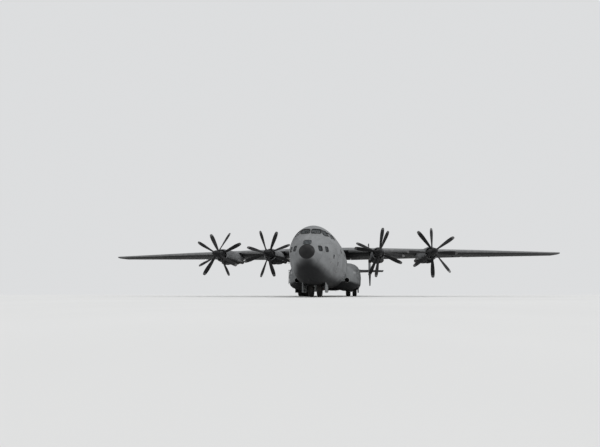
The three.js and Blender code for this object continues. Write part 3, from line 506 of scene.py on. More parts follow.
@dataclass
class Shape:
    """A mesh in the making, in full-size metres."""

    vertices: Ring = field(default_factory=list)
    faces: list[tuple[int, ...]] = field(default_factory=list)
    materials: list[int] = field(default_factory=list)
    brush: int = 0

    def add(self, points: Iterable[Vector], faces: Iterable[Sequence[int]]) -> Shape:
        """Adds points, and faces between them, in the brush's material.

        Args:
            points: The points.
            faces: The numbers of each face's points.

        Returns:
            This shape.
        """
        start = len(self.vertices)
        self.vertices.extend(points)
        for face in faces:
            self.faces.append(tuple(start + i for i in face))
            self.materials.append(self.brush)
        return self

    def loft(self, rings: Sequence[Ring], closed: bool = True, caps: bool = True) -> Shape:
        """Skins a row of rings that all have as many points.

        Args:
            rings: The rings in order.
            closed: Whether each ring closes on itself.
            caps: Whether a face closes each end.

        Returns:
            This shape.
        """
        count = len(rings[0])
        last = (len(rings) - 1) * count
        faces: list[tuple[int, ...]] = []
        for start in range(0, last, count):
            for i in range(count if closed else count - 1):
                j = (i + 1) % count
                faces.append((start + i, start + j, start + count + j, start + count + i))
        if caps:
            faces += [tuple(range(count))[::-1], tuple(range(last, last + count))]
        return self.add([p for ring in rings for p in ring], faces)

    def lathe(self, profile: Sequence[tuple[float, float]], centre: Vector, axis: Vector,
              count: int = 32, closed: bool = False) -> Shape:
        """Turns an outline about an axis.

        Args:
            profile: Radius and distance along the axis, in order.
            centre: A point on the axis.
            axis: The axis' direction.
            count: Number of steps round.
            closed: Whether the outline closes on itself.

        Returns:
            This shape.
        """
        along = axis.normalized()
        side = along.orthogonal().normalized()
        other = along.cross(side)
        size = len(profile)
        points: Ring = []
        faces: list[tuple[int, ...]] = []
        for i, angle in enumerate(turns(count)):
            out = side * math.cos(angle) + other * math.sin(angle)
            points += [centre + out * radius + along * distance for radius, distance in profile]
            here, beside = i * size, (i + 1) % count * size
            for k in range(size if closed else size - 1):
                m = (k + 1) % size
                faces.append((here + k, beside + k, beside + m, here + m))
        return self.add(points, faces)

    def bar(self, start: Vector, end: Vector, radius: float, count: int = 12,
            end_radius: float | None = None) -> Shape:
        """Adds a round bar between two points.

        Args:
            start: One end.
            end: The other end.
            radius: Radius at the start.
            count: Number of sides.
            end_radius: Radius at the end, where it differs.

        Returns:
            This shape.
        """
        length = (end - start).length
        outline = [(0.0, 0.0), (radius, 0.0), (end_radius or radius, length), (0.0, length)]
        return self.lathe(outline, start, end - start, count)

    def hose(self, points: Sequence[Vector], radius: float, count: int = 8, steps: int = 6) -> Shape:
        """Adds a round pipe through points, smoothed between them.

        Args:
            points: The points.
            radius: The pipe's radius.
            count: Number of sides.
            steps: Number of steps from one point to the next.

        Returns:
            This shape.
        """
        path: Ring = []
        ends = [points[0], *points, points[-1]]
        for before, a, b, after in zip(ends, ends[1:], ends[2:], ends[3:]):
            for k in range(steps):
                t = k / steps
                path.append(0.5 * ((2 * a) + (b - before) * t
                                   + (2 * before - 5 * a + 4 * b - after) * t**2
                                   + (3 * a - before - 3 * b + after) * t**3))
        path.append(points[-1])
        ends = [path[0], *path, path[-1]]
        lean = vec(0.3, 0.2, 1)
        return self.loft([pipe_ring(before, at, after, lean, radius, count)
                          for before, at, after in zip(ends, path, ends[2:])])

    def loop(self, points: Sequence[Vector], radius: float, count: int = 8) -> Shape:
        """Adds a round cord that runs through the points and back to its start.

        Args:
            points: The points.
            radius: The cord's radius.
            count: Number of sides.

        Returns:
            This shape.
        """
        lean = vec(0.31, 0.22, 1)
        rings = [pipe_ring(points[i - 1], at, points[(i + 1) % len(points)], lean, radius, count)
                 for i, at in enumerate(points)]
        return self.loft([*rings, rings[0]], caps=False)

    def block(self, low: Vector, high: Vector) -> Shape:
        """Adds a box between its lowest and its highest corner."""
        outline = ((low.x, low.y), (high.x, low.y), (high.x, high.y), (low.x, high.y))
        return self.loft([[vec(x, y, z) for x, y in outline] for z in (low.z, high.z)])

    def plate(self, skin: Skin, spot: Spot, width: float, height: float, rounded: float = 0.0,
              lift: float = 0.012, grid: int = 8, sink: float = 0.05) -> Shape:
        """Lays a thin plate on a skin, bent to follow it.

        Args:
            skin: The skin under the plate.
            spot: Where the plate lies.
            width: Size across.
            height: Size upwards.
            rounded: 0 for square corners, 1 for an ellipse.
            lift: How far its face stands off the skin.
            grid: Number of steps each way.
            sink: How far its edge runs into the skin.

        Returns:
            This shape.
        """
        top: Ring = []
        for v in between(-1, 1, grid + 1):
            for u in between(-1, 1, grid + 1):
                across = u * math.sqrt(1 - rounded * v * v / 2) * width / 2
                upwards = v * math.sqrt(1 - rounded * u * u / 2) * height / 2
                top.append(skin.over(spot, across, upwards, lift))
        quads, edge = grid_faces(grid + 1)
        base = len(top)
        faces = quads + [tuple(base + i for i in quad[::-1]) for quad in quads]
        faces += [(i, m, base + m, base + i) for i, m in zip(edge, edge[1:] + edge[:1])]
        return self.add([*top, *(p + spot.toward * (lift + sink) for p in top)], faces)

    def rim(self, skin: Skin, spot: Spot, width: float, height: float, band: float,
            square: float = 4.0, lift: float = 0.02, count: int = 40, sink: float = 0.04) -> Shape:
        """Lays a raised frame on a skin.

        Args:
            skin: The skin under the frame.
            spot: Where the frame lies.
            width: Inner size across.
            height: Inner size upwards.
            band: Width of the frame.
            square: Squareness of the outline, 2 for an ellipse and more for a squarer one.
            lift: How far its face stands off the skin.
            count: Number of steps round.
            sink: How far its edges run into the skin.

        Returns:
            This shape.
        """
        rings = []
        for grow, off in ((0.0, -sink), (0.0, lift), (band, lift), (band + 0.01, -sink)):
            outline = squared_oval(width / 2 + grow, height / 2 + grow, square, count)
            rings.append([skin.over(spot, across, upwards, off) for across, upwards in outline])
        return self.loft(rings, caps=False)

    def cushion(self, middle: Vector, across: Vector, along: Vector, size: tuple[float, float, float],
                channels: int, pull: float = 0.08, blunt: float = 0.05, seam: float = 0.05,
                pucker: float = 0.05, welt: float = 0.009, grid: int = 28) -> Shape:
        """Adds a stuffed cushion with a crowned face, a flat back and a welt round its seam.

        Args:
            middle: Middle of the seam's plane.
            across: Direction of its width.
            along: Direction of its length.
            size: Width, length and how far the face swells.
            channels: Number of sewn lines across the face.
            pull: How far each side is drawn in between its corners, as a share of the half size.
            blunt: How far the corners are drawn in, as a share of the half size.
            seam: Width of a sewn line, as a share of the half length.
            pucker: Depth of the folds beside the seam, as a share of the swell.
            welt: Radius of the welt, which takes the next material.
            grid: Number of steps each way.

        Returns:
            This shape.
        """
        width, length, swell = size
        out = across.cross(along)
        lines = [2 * (k + 1) / (channels + 1) - 1 for k in range(channels)]
        points: Ring = []
        for front in (True, False):
            for v in between(-1, 1, grid + 1):
                for u in between(-1, 1, grid + 1):
                    corner = 1 - blunt * (u * v) ** 8
                    a = u * (1 - pull * (1 - v * v) * u * u) * corner
                    b = v * (1 - pull * (1 - u * u) * v * v) * corner
                    crown = math.sqrt(max(0.0, (1 - u**4) * (1 - v**4)))
                    height = -min(0.3 * swell * crown * 2, 0.3 * swell)
                    if front:
                        rise = crown * (1 + 0.25 * (1 - u * u) * (1 - v * v))
                        rise -= crown * 0.3 * sum(math.exp(-(((v - c) / seam) ** 2)) for c in lines)
                        rise += crown * pucker * (math.sin(17 * u) * v**6 + math.sin(15 * v) * u**6)
                        height = swell * rise * 0.8
                    points.append(middle + across * (a * width / 2) + along * (b * length / 2) + out * height)
        quads, edge = grid_faces(grid + 1)
        self.add(points, [*quads, *(tuple((grid + 1) ** 2 + k for k in quad[::-1]) for quad in quads)])
        self.brush += 1
        return self.loop([points[i] for i in edge], welt)

    def on_side(self, side: int) -> Shape:
        """Gives a shape of the left side on its own side.

        Args:
            side: 1 for the left side, -1 for the right one.

        Returns:
            This shape, or its mirrored copy.
        """
        if side > 0:
            return self
        points = [vec(-v.x, v.y, v.z) for v in self.vertices]
        return Shape(points, [face[::-1] for face in self.faces], self.materials)

    def mesh(self, name: str, crease: float = 32.0) -> bpy.types.Mesh:
        """Makes the mesh, with edges sharper than the crease left sharp.

        Args:
            name: The mesh's name.
            crease: Angle in degrees.

        Returns:
            The mesh in the model's metres.
        """
        mesh = bpy.data.meshes.new(name)
        mesh.from_pydata([to_model(v) for v in self.vertices], [], self.faces)
        mesh.polygons.foreach_set("material_index", self.materials)
        soften(mesh, crease, weld=True)
        return mesh

    def build(self, name: str, *finishes: Finish, body: str = AIRFRAME, crease: float = 32.0,
              slot: Slot | None = None, stands_for: str = "") -> bpy.types.Object:
        """Makes the object and hangs it on its body, in place of the solid that it stands for."""
        return hang(name, self.mesh(name, crease), finishes, body, stands_for)


def carve(name: str, whole: Shape, cutters: Sequence[Shape], crease: float = 32.0) -> bpy.types.Mesh:
    """Cuts solids out of a solid.

    Args:
        name: The mesh's name.
        whole: The solid to cut.
        cutters: The solids that are taken out of it.
        crease: Angle in degrees past which an edge stays sharp.

    Returns:
        What is left, in the model's metres and without materials.
    """
    base = stand(name, whole.mesh(name))
    tools = []
    for i, cutter in enumerate(cutters):
        label = f"{name}_cutter_{i}"
        tools.append(stand(label, cutter.mesh(label)))
        step = base.modifiers.new(f"cut_{i}", "BOOLEAN")
        step.operation, step.solver, step.object = "DIFFERENCE", "EXACT", tools[-1]
    graph = bpy.context.evaluated_depsgraph_get()
    mesh = bpy.data.meshes.new_from_object(base.evaluated_get(graph))
    mesh.name = f"{name}_carved"
    for each in (base, *tools):
        bpy.data.objects.remove(each)
    soften(mesh, crease)
    mesh.materials.clear()
    return mesh


class Graph:
    """A short way to write a node tree."""

    def __init__(self, tree: bpy.types.NodeTree) -> None:
        """Works on this tree."""
        self.tree = tree

    def node(self, kind: str, **settings: object) -> bpy.types.Node:
        """Adds a node and sets its properties.

        Args:
            kind: The node's type.
            settings: Its properties by name.

        Returns:
            The node.
        """
        made = self.tree.nodes.new(kind)
        for key, value in settings.items():
            setattr(made, key, value)
        return made

    def feed(self, socket: Socket, value: object) -> None:
        """Links a socket to another one, or sets its value.

        Args:
            socket: The input that is fed.
            value: Another node's output, or a plain value.
        """
        if isinstance(value, Socket):
            self.tree.links.new(value, socket)
        else:
            socket.default_value = value

    def work(self, kind: str, operation: str, values: Sequence[object]) -> Socket:
        """Adds a node that works on its inputs in order.

        Args:
            kind: The node's type.
            operation: What it does.
            values: What its inputs take.

        Returns:
            Its output.
        """
        made = self.node(kind, operation=operation)
        for socket, value in zip(made.inputs, values):
            self.feed(socket, value)
        return made.outputs[0]

    def math(self, operation: str, *values: object) -> Socket:
        """Adds a Math node and gives its output."""
        return self.work("ShaderNodeMath", operation, values)

    def plus(self, a: object, b: object) -> Socket:
        """Adds one value to another."""
        return self.math("ADD", a, b)

    def minus(self, a: object, b: object) -> Socket:
        """Takes the second value from the first."""
        return self.math("SUBTRACT", a, b)

    def times(self, a: object, b: object) -> Socket:
        """Multiplies two values."""
        return self.math("MULTIPLY", a, b)

    def most(self, a: object, b: object) -> Socket:
        """Gives the larger of two values."""
        return self.math("MAXIMUM", a, b)

    def stretch(self, vector: object, factors: Colour) -> Socket:
        """Multiplies a vector by three factors."""
        return self.work("ShaderNodeVectorMath", "MULTIPLY", (vector, factors))

    def mix(self, share: object, a: object, b: object, blend: str = "MIX") -> Socket:
        """Mixes two colours.

        Args:
            share: How much of the second one.
            a: The first colour.
            b: The second colour.
            blend: The way of mixing.

        Returns:
            The mixed colour.
        """
        made = self.node("ShaderNodeMix", data_type="RGBA", blend_type=blend)
        for index, value in ((0, share), (6, a), (7, b)):
            self.feed(made.inputs[index], value)
        return made.outputs[2]

    def step(self, value: object, low: object, high: object, start: float = 0.0,
             end: float = 1.0) -> Socket:
        """Maps a value smoothly from one range to another.

        Args:
            value: What is mapped.
            low: Where the change starts.
            high: Where it ends.
            start: The output at and before low.
            end: The output at and after high.

        Returns:
            The output.
        """
        made = self.node("ShaderNodeMapRange", interpolation_type="SMOOTHSTEP")
        for name, item in (("Value", value), ("From Min", low), ("From Max", high),
                           ("To Min", start), ("To Max", end)):
            self.feed(made.inputs[name], item)
        return made.outputs[0]

    def fade(self, value: object, low: float, high: float) -> Socket:
        """Gives 1 at and before low, and 0 at and after high."""
        return self.step(value, low, high, 1.0, 0.0)

    def noise(self, vector: object, scale: object, detail: float = 3.0,
              rough: float = 0.55) -> Socket:
        """Adds a noise texture.

        Args:
            vector: Where it is read.
            scale: How fine it is.
            detail: How many finer layers it has.
            rough: How strong these are.

        Returns:
            Its value.
        """
        made = self.node("ShaderNodeTexNoise")
        for name, value in (("Vector", vector), ("Scale", scale), ("Detail", detail), ("Roughness", rough)):
            self.feed(made.inputs[name], value)
        return made.outputs[0]

    def place(self) -> Socket:
        """Gives the place on the object."""
        return self.node("ShaderNodeTexCoord").outputs["Object"]

    def normal(self) -> Socket:
        """Gives the way that the surface faces."""
        return self.node("ShaderNodeTexCoord").outputs["Normal"]

    def split(self, vector: object) -> list[Socket]:
        """Takes a vector apart.

        Args:
            vector: The vector.

        Returns:
            Its three numbers.
        """
        made = self.node("ShaderNodeSeparateXYZ")
        self.feed(made.inputs[0], vector)
        return list(made.outputs)

    def use(self, group: bpy.types.NodeTree, **values: object) -> bpy.types.NodeOutputs:
        """Places a shared effect.

        Args:
            group: The effect.
            values: What its inputs take, with _ for each space in their names.

        Returns:
            Its outputs.
        """
        made = self.node("ShaderNodeGroup", node_tree=group)
        for key, value in values.items():
            self.feed(made.inputs[key.replace("_", " ").title()], value)
        return made.outputs


class Port(Enum):
    """Kinds of socket on a shared effect."""

    NUMBER = "NodeSocketFloat"
    VECTOR = "NodeSocketVector"


class Effect(Graph):
    """A shared shader effect: a node group with named inputs and outputs."""

    def __init__(self, name: str, inputs: Sequence[tuple[str, Port, object]], outputs: Sequence[str]) -> None:
        """Starts the group.

        Args:
            name: The group's name.
            inputs: Name, kind and first value of each input.
            outputs: Name of each output, which are numbers.
        """
        super().__init__(bpy.data.node_groups.new(name, "ShaderNodeTree"))
        for label, port, value in inputs:
            socket = self.tree.interface.new_socket(label, in_out="INPUT", socket_type=port.value)
            socket.default_value = value
        for label in outputs:
            self.tree.interface.new_socket(label, in_out="OUTPUT", socket_type=Port.NUMBER.value)
        self.given = self.node("NodeGroupInput").outputs
        self.results = self.node("NodeGroupOutput").inputs

    def give(self, **results: object) -> bpy.types.NodeTree:
        """Feeds the outputs.

        Args:
            results: The value of each output, by its name in small letters.

        Returns:
            The finished group.
        """
        for key, value in results.items():
            self.feed(self.results[key.title()], value)
        return self.tree


class Effects:
    """The shader effects that several finishes share, each built once."""

    def __init__(self) -> None:
        """Builds every effect."""
        self.seams = self._seams()
        self.weather = self._weather()
        self.underside = self._underside_shade()
        self.soot = self._soot()
        self.grain = self._grain()

    def _seams(self, pitch: float = 0.014, dot: float = 0.005, inset: float = 0.018) -> bpy.types.NodeTree:
        """Draws sheet metal seams and rivet rows, from two distances over the surface.

        Args:
            pitch: Half the distance from one rivet to the next.
            dot: Half a rivet's width along its row.
            inset: Distance of the rivet row from the seam.

        Returns:
            The group.
        """
        g = Effect(
            "sheet_seams",
            [("Along", Port.NUMBER, 0.0), ("Across", Port.NUMBER, 0.0), ("Along Pitch", Port.NUMBER, 1.0),
             ("Across Pitch", Port.NUMBER, 0.6), ("Line", Port.NUMBER, 0.006)],
            ["Seam", "Tone", "Rivet"],
        )
        cell = g.node("ShaderNodeCombineXYZ")
        lines, dots, rows = [], [], []
        for i, name in enumerate(("Along", "Across")):
            distance, sheet = g.given[name], g.given[f"{name} Pitch"]
            near = g.math("PINGPONG", distance, g.times(sheet, 0.5))
            lines.append(g.step(near, 0.0, g.given["Line"], 1.0, 0.0))
            dots.append(g.fade(g.math("PINGPONG", distance, pitch), 0.0, dot))
            rows.append(g.fade(g.math("ABSOLUTE", g.minus(near, inset)), 0.003, 0.006))
            g.feed(cell.inputs[i], g.math("FLOOR", g.math("DIVIDE", distance, sheet)))
        tone = g.node("ShaderNodeTexWhiteNoise", noise_dimensions="3D")
        g.feed(tone.inputs["Vector"], cell.outputs[0])
        return g.give(
            seam=g.most(*lines),
            tone=tone.outputs["Value"],
            rivet=g.most(g.times(dots[1], rows[0]), g.times(dots[0], rows[1])),
        )

    def _weather(self, airflow: Colour = (5.0, 0.45, 3.2)) -> bpy.types.NodeTree:
        """Spreads dirt that is drawn out along the airflow, with broad stains and fine specks.

        Args:
            airflow: How much finer the streaks are in each direction.

        Returns:
            The group.
        """
        g = Effect(
            "airflow_weather",
            [("Place", Port.VECTOR, (0.0, 0.0, 0.0)), ("Amount", Port.NUMBER, 0.5)],
            ["Grime", "Mottle", "Speck"],
        )
        place = g.given["Place"]
        streak = g.step(g.noise(g.stretch(place, airflow), 1.3, 5.0, 0.62), 0.44, 0.78)
        stain = g.step(g.noise(place, 0.55, 4.0), 0.4, 0.72)
        both = g.plus(g.times(streak, 0.65), g.times(stain, 0.5))
        grime = g.times(both, g.given["Amount"])
        grime.node.use_clamp = True
        speck = g.step(g.noise(place, 26.0, 2.0), 0.62, 0.75)
        return g.give(grime=grime, mottle=g.noise(place, 2.6, 4.0), speck=speck)

    def _underside_shade(self, waver: float = 0.12) -> bpy.types.NodeTree:
        """Finds where the painted shade goes: on faces that look down, and below or above the given heights.

        Args:
            waver: How far the painted shade's edge wavers.

        Returns:
            The group.
        """
        g = Effect(
            "painted_underside_shade",
            [("Facing", Port.VECTOR, (0.0, 0.0, 1.0)), ("Place", Port.VECTOR, (0.0, 0.0, 0.0)),
             ("Edge", Port.NUMBER, -0.1), ("Softness", Port.NUMBER, 0.2),
             ("Low", Port.NUMBER, -1.0), ("High", Port.NUMBER, 90.0)],
            ["Mask"],
        )
        place, edge = g.given["Place"], g.given["Edge"]
        height = g.split(place)[2]
        wave = g.times(g.minus(g.noise(place, 1.4, 2.0), 0.5), waver)
        level = g.plus(g.split(g.given["Facing"])[2], wave)
        facing = g.step(level, edge, g.plus(edge, g.given["Softness"]), 1.0, 0.0)
        below = g.math("LESS_THAN", height, g.given["Low"])
        above = g.math("GREATER_THAN", height, g.given["High"])
        return g.give(mask=g.most(facing, g.most(below, above)))

    def _soot(self, sway: float = 0.3, starts: tuple[float, float] = (-3.85, -3.3),
              ends: tuple[float, float] = (-3.0, 0.2)) -> bpy.types.NodeTree:
        """Trails soot from the exhaust pipes under and over the wing, in the model's own metres.

        Args:
            sway: How far the trails sway sideways.
            starts: Where they set in, from front to back.
            ends: Where they fade.

        Returns:
            The group.
        """
        g = Effect("exhaust_soot", [("Place", Port.VECTOR, (0.0, 0.0, 0.0))], ["Mask"])
        place = g.given["Place"]
        x, y, _ = g.split(place)
        side = g.math("ABSOLUTE", x)
        swayed = g.times(g.minus(g.noise(place, 1.1, 3.0), 0.5), sway)
        total: object = 0.0
        for middle in ENGINES.values():
            for pipe in (-PIPE_X * SCALE, PIPE_X * SCALE):
                off = g.math("ABSOLUTE", g.plus(g.minus(side, middle * SCALE + pipe), swayed))
                total = g.most(total, g.fade(off, 0.02, 0.3))
        start = g.step(y, *starts)
        fade = g.step(y, *ends, 1.0, 0.35)
        torn = g.step(g.noise(g.stretch(place, (6.0, 0.5, 6.0)), 1.6, 4.0), 0.25, 0.7)
        return g.give(mask=g.times(g.times(total, torn), g.times(start, fade)))

    def _grain(self) -> bpy.types.NodeTree:
        """Builds the fine grain of rubber, decks and bare metal.

        Returns:
            The group.
        """
        g = Effect(
            "fine_grain",
            [("Place", Port.VECTOR, (0.0, 0.0, 0.0)), ("Size", Port.NUMBER, 60.0),
             ("Draw", Port.VECTOR, (1.0, 1.0, 1.0))],
            ["Grain", "Patch"],
        )
        place = g.given["Place"]
        drawn = g.stretch(place, g.given["Draw"])
        return g.give(
            grain=g.noise(drawn, g.given["Size"], 4.0, 0.5),
            patch=g.step(g.noise(place, 4.0, 4.0), 0.4, 0.7),
        )


def rgba(colour: Colour, share: float = 1.0, more: float = 0.0) -> tuple[float, float, float, float]:
    """Gives a colour its fourth number, and darkens or lightens it where asked."""
    return (*(min(1.0, c * share + more) for c in colour), 1.0)


def start_material(name: str, roughness: float, metallic: float = 0.0, coat: float = 0.0,
                   specular: float = 0.5) -> tuple[bpy.types.Material, Graph, bpy.types.NodeInputs]:
    """Makes an empty material.

    Args:
        name: Its name.
        roughness: Its plain roughness.
        metallic: Its plain metallic value.
        coat: Its clear coat.
        specular: Its specular level.

    Returns:
        The material, its graph and its shader's inputs.
    """
    material = bpy.data.materials.new(name)
    material.use_nodes = True
    shader = material.node_tree.nodes["Principled BSDF"].inputs
    shader["Roughness"].default_value = roughness
    shader["Metallic"].default_value = metallic
    shader["Coat Weight"].default_value = coat
    shader["Coat Roughness"].default_value = 0.2
    shader["Specular IOR Level"].default_value = specular
    return material, Graph(material.node_tree), shader


def bump(g: Graph, shader: bpy.types.NodeInputs, height: object, distance: float,
         strength: float = 1.0) -> None:
    """Feeds a height to the shader's normal.

    Args:
        g: The material's graph.
        shader: The shader's inputs.
        height: The height.
        distance: How far the full height stands off, in metres.
        strength: How much of it shows.
    """
    node = g.node("ShaderNodeBump")
    for name, value in (("Strength", strength), ("Distance", distance), ("Height", height)):
        g.feed(node.inputs[name], value)
    g.feed(shader["Normal"], node.outputs[0])


class Sheeting(Enum):
    """How sheet seams run over a painted piece."""

    ROUND_HULL = "round_hull"
    LONG_BOX = "long_box"
    WING = "wing"
    FIN = "fin"


HULL_AXIS = 2.05
HULL_RADIUS = 1.5
WING_SWEEP = 0.06
FIN_SWEEP = -0.25
SOOT_BLACK: Colour = (0.012, 0.011, 0.01)
SEAM_BLACK: Colour = (0.02, 0.02, 0.02)


@dataclass(frozen=True)
class Paint:
    """Satin aircraft paint over riveted sheets, in its own grey, darkened to a second grey where the surface
    faces down: a painted shade.
    """

    name: str
    upper: Colour
    # The grey of the painted shade on the faces that look down.
    lower: Colour
    sheeting: Sheeting
    # How far down a face must look to take the painted shade, and how soft the shade's edge is.
    edge: float = -0.15
    softness: float = 0.25
    grime: float = 0.5
    roughness: float = 0.62
    soot: bool = False
    # Heights in the model's metres below and above which the shade grey is laid as well.
    low_dark: float = -1.0
    high_dark: float = 90.0
    along_pitch: float = 1.0
    across_pitch: float = 0.62

    def directions(self, g: Graph, place: Socket) -> tuple[object, object]:
        """Works out the two distances that the sheets are counted along.

        Args:
            g: The material's graph.
            place: The place on the object.

        Returns:
            The distance along the sheets and the one across them.
        """
        x, y, z = g.split(place)
        if self.sheeting is Sheeting.ROUND_HULL:
            angle = g.math("ARCTAN2", x, g.minus(z, HULL_AXIS))
            return y, g.times(angle, HULL_RADIUS)
        if self.sheeting is Sheeting.WING:
            return x, g.minus(y, g.times(g.math("ABSOLUTE", x), WING_SWEEP))
        if self.sheeting is Sheeting.FIN:
            return z, g.plus(y, g.times(z, FIN_SWEEP))
        return y, g.plus(z, g.times(x, 0.7))

    def material(self, effects: Effects) -> bpy.types.Material:
        """Builds the material.

        Args:
            effects: The shared effects.

        Returns:
            The material.
        """
        material, g, shader = start_material(self.name, self.roughness, specular=0.1)
        place = g.place()
        along, across = self.directions(g, place)
        seams = g.use(effects.seams, along=along, across=across,
                      along_pitch=self.along_pitch, across_pitch=self.across_pitch)
        weather = g.use(effects.weather, place=place, amount=self.grime)
        # Painted shade: the mask of the faces that look down, and of the height bands.
        under = g.use(effects.underside, facing=g.normal(), place=place, edge=self.edge,
                      softness=self.softness, low=self.low_dark, high=self.high_dark)["Mask"]
        tone = g.plus(g.times(seams["Tone"], 0.14), 0.93)
        mottle = g.plus(g.times(weather["Mottle"], 0.3), 0.85)
        shade = g.node("ShaderNodeCombineColor")
        for socket in shade.inputs:
            g.feed(socket, g.times(tone, mottle))
        # Where the mask is, the paint takes its painted shade grey.
        colour = g.mix(under, rgba(self.upper), rgba(self.lower))
        colour = g.mix(1.0, colour, shade.outputs[0], "MULTIPLY")
        dirt = rgba(self.lower, 0.45)
        colour = g.mix(g.times(weather["Grime"], 0.55), colour, dirt)
        colour = g.mix(g.times(weather["Speck"], 0.2), colour, dirt)
        colour = g.mix(g.times(seams["Seam"], 0.5), colour, rgba(SEAM_BLACK))
        if self.soot:
            soot = g.use(effects.soot, place=place)["Mask"]
            share = g.plus(g.times(under, 0.6), 0.15)
            colour = g.mix(g.times(soot, share), colour, rgba(SOOT_BLACK))
        g.feed(shader["Base Color"], colour)
        rough = g.plus(g.times(weather["Grime"], 0.3), self.roughness - 0.04)
        g.feed(shader["Roughness"], g.plus(rough, g.times(seams["Tone"], 0.06)))
        height = g.minus(g.times(seams["Rivet"], 0.35), seams["Seam"])
        bump(g, shader, g.plus(height, g.times(weather["Mottle"], 0.5)), 0.004, 0.6)
        return material


@dataclass(frozen=True)
class Grained:
    """Rubber, deck coating, cloth, enamel or bare metal, with a fine grain."""

    name: str
    colour: Colour
    worn: Colour
    roughness: float
    metallic: float = 0.0
    size: float = 60.0
    draw: Colour = (1.0, 1.0, 1.0)
    relief: float = 0.002
    wear: float = 0.5
    coat: float = 0.0
    specular: float = 0.35

    def material(self, effects: Effects) -> bpy.types.Material:
        """Builds the material.

        Args:
            effects: The shared effects.

        Returns:
            The material.
        """
        material, g, shader = start_material(self.name, self.roughness, self.metallic, self.coat,
                                             self.specular)
        place = g.place()
        grain = g.use(effects.grain, place=place, size=self.size, draw=self.draw)
        grime = g.use(effects.weather, place=place, amount=0.6)["Grime"]
        colour = g.mix(g.times(grain["Patch"], self.wear), rgba(self.colour), rgba(self.worn))
        colour = g.mix(g.times(grime, 0.4), colour, rgba(self.colour, 0.5))
        colour = g.mix(g.step(grain["Grain"], 0.5, 0.75, 0.0, 0.25), colour, rgba(self.worn))
        g.feed(shader["Base Color"], colour)
        g.feed(shader["Roughness"], g.plus(g.times(grain["Grain"], 0.2), self.roughness - 0.1))
        bump(g, shader, grain["Grain"], self.relief)
        return material


@dataclass(frozen=True)
class Clear:
    """Glass, or a tinted lamp cover."""

    name: str
    colour: Colour
    transmission: float = 0.4
    roughness: float = 0.06

    def material(self, effects: Effects) -> bpy.types.Material:
        """Builds the material.

        Args:
            effects: The shared effects.

        Returns:
            The material.
        """
        material, g, shader = start_material(self.name, self.roughness, specular=0.14)
        shader["Transmission Weight"].default_value = self.transmission
        shader["IOR"].default_value = 1.2
        grime = g.use(effects.weather, place=g.place(), amount=0.5)["Grime"]
        dusty = rgba(self.colour, 1.6, 0.02)
        g.feed(shader["Base Color"], g.mix(g.times(grime, 0.5), rgba(self.colour), dusty))
        g.feed(shader["Roughness"], g.plus(g.times(grime, 0.2), self.roughness))
        return material


UPPER_GREY: Colour = (0.2, 0.206, 0.21)
PANEL_GREY: Colour = (0.17, 0.175, 0.18)
# Painted shade of the undersides: the near-black grey of the faces that look down.
UNDERSIDE_SHADE: Colour = (0.016, 0.0165, 0.0175)


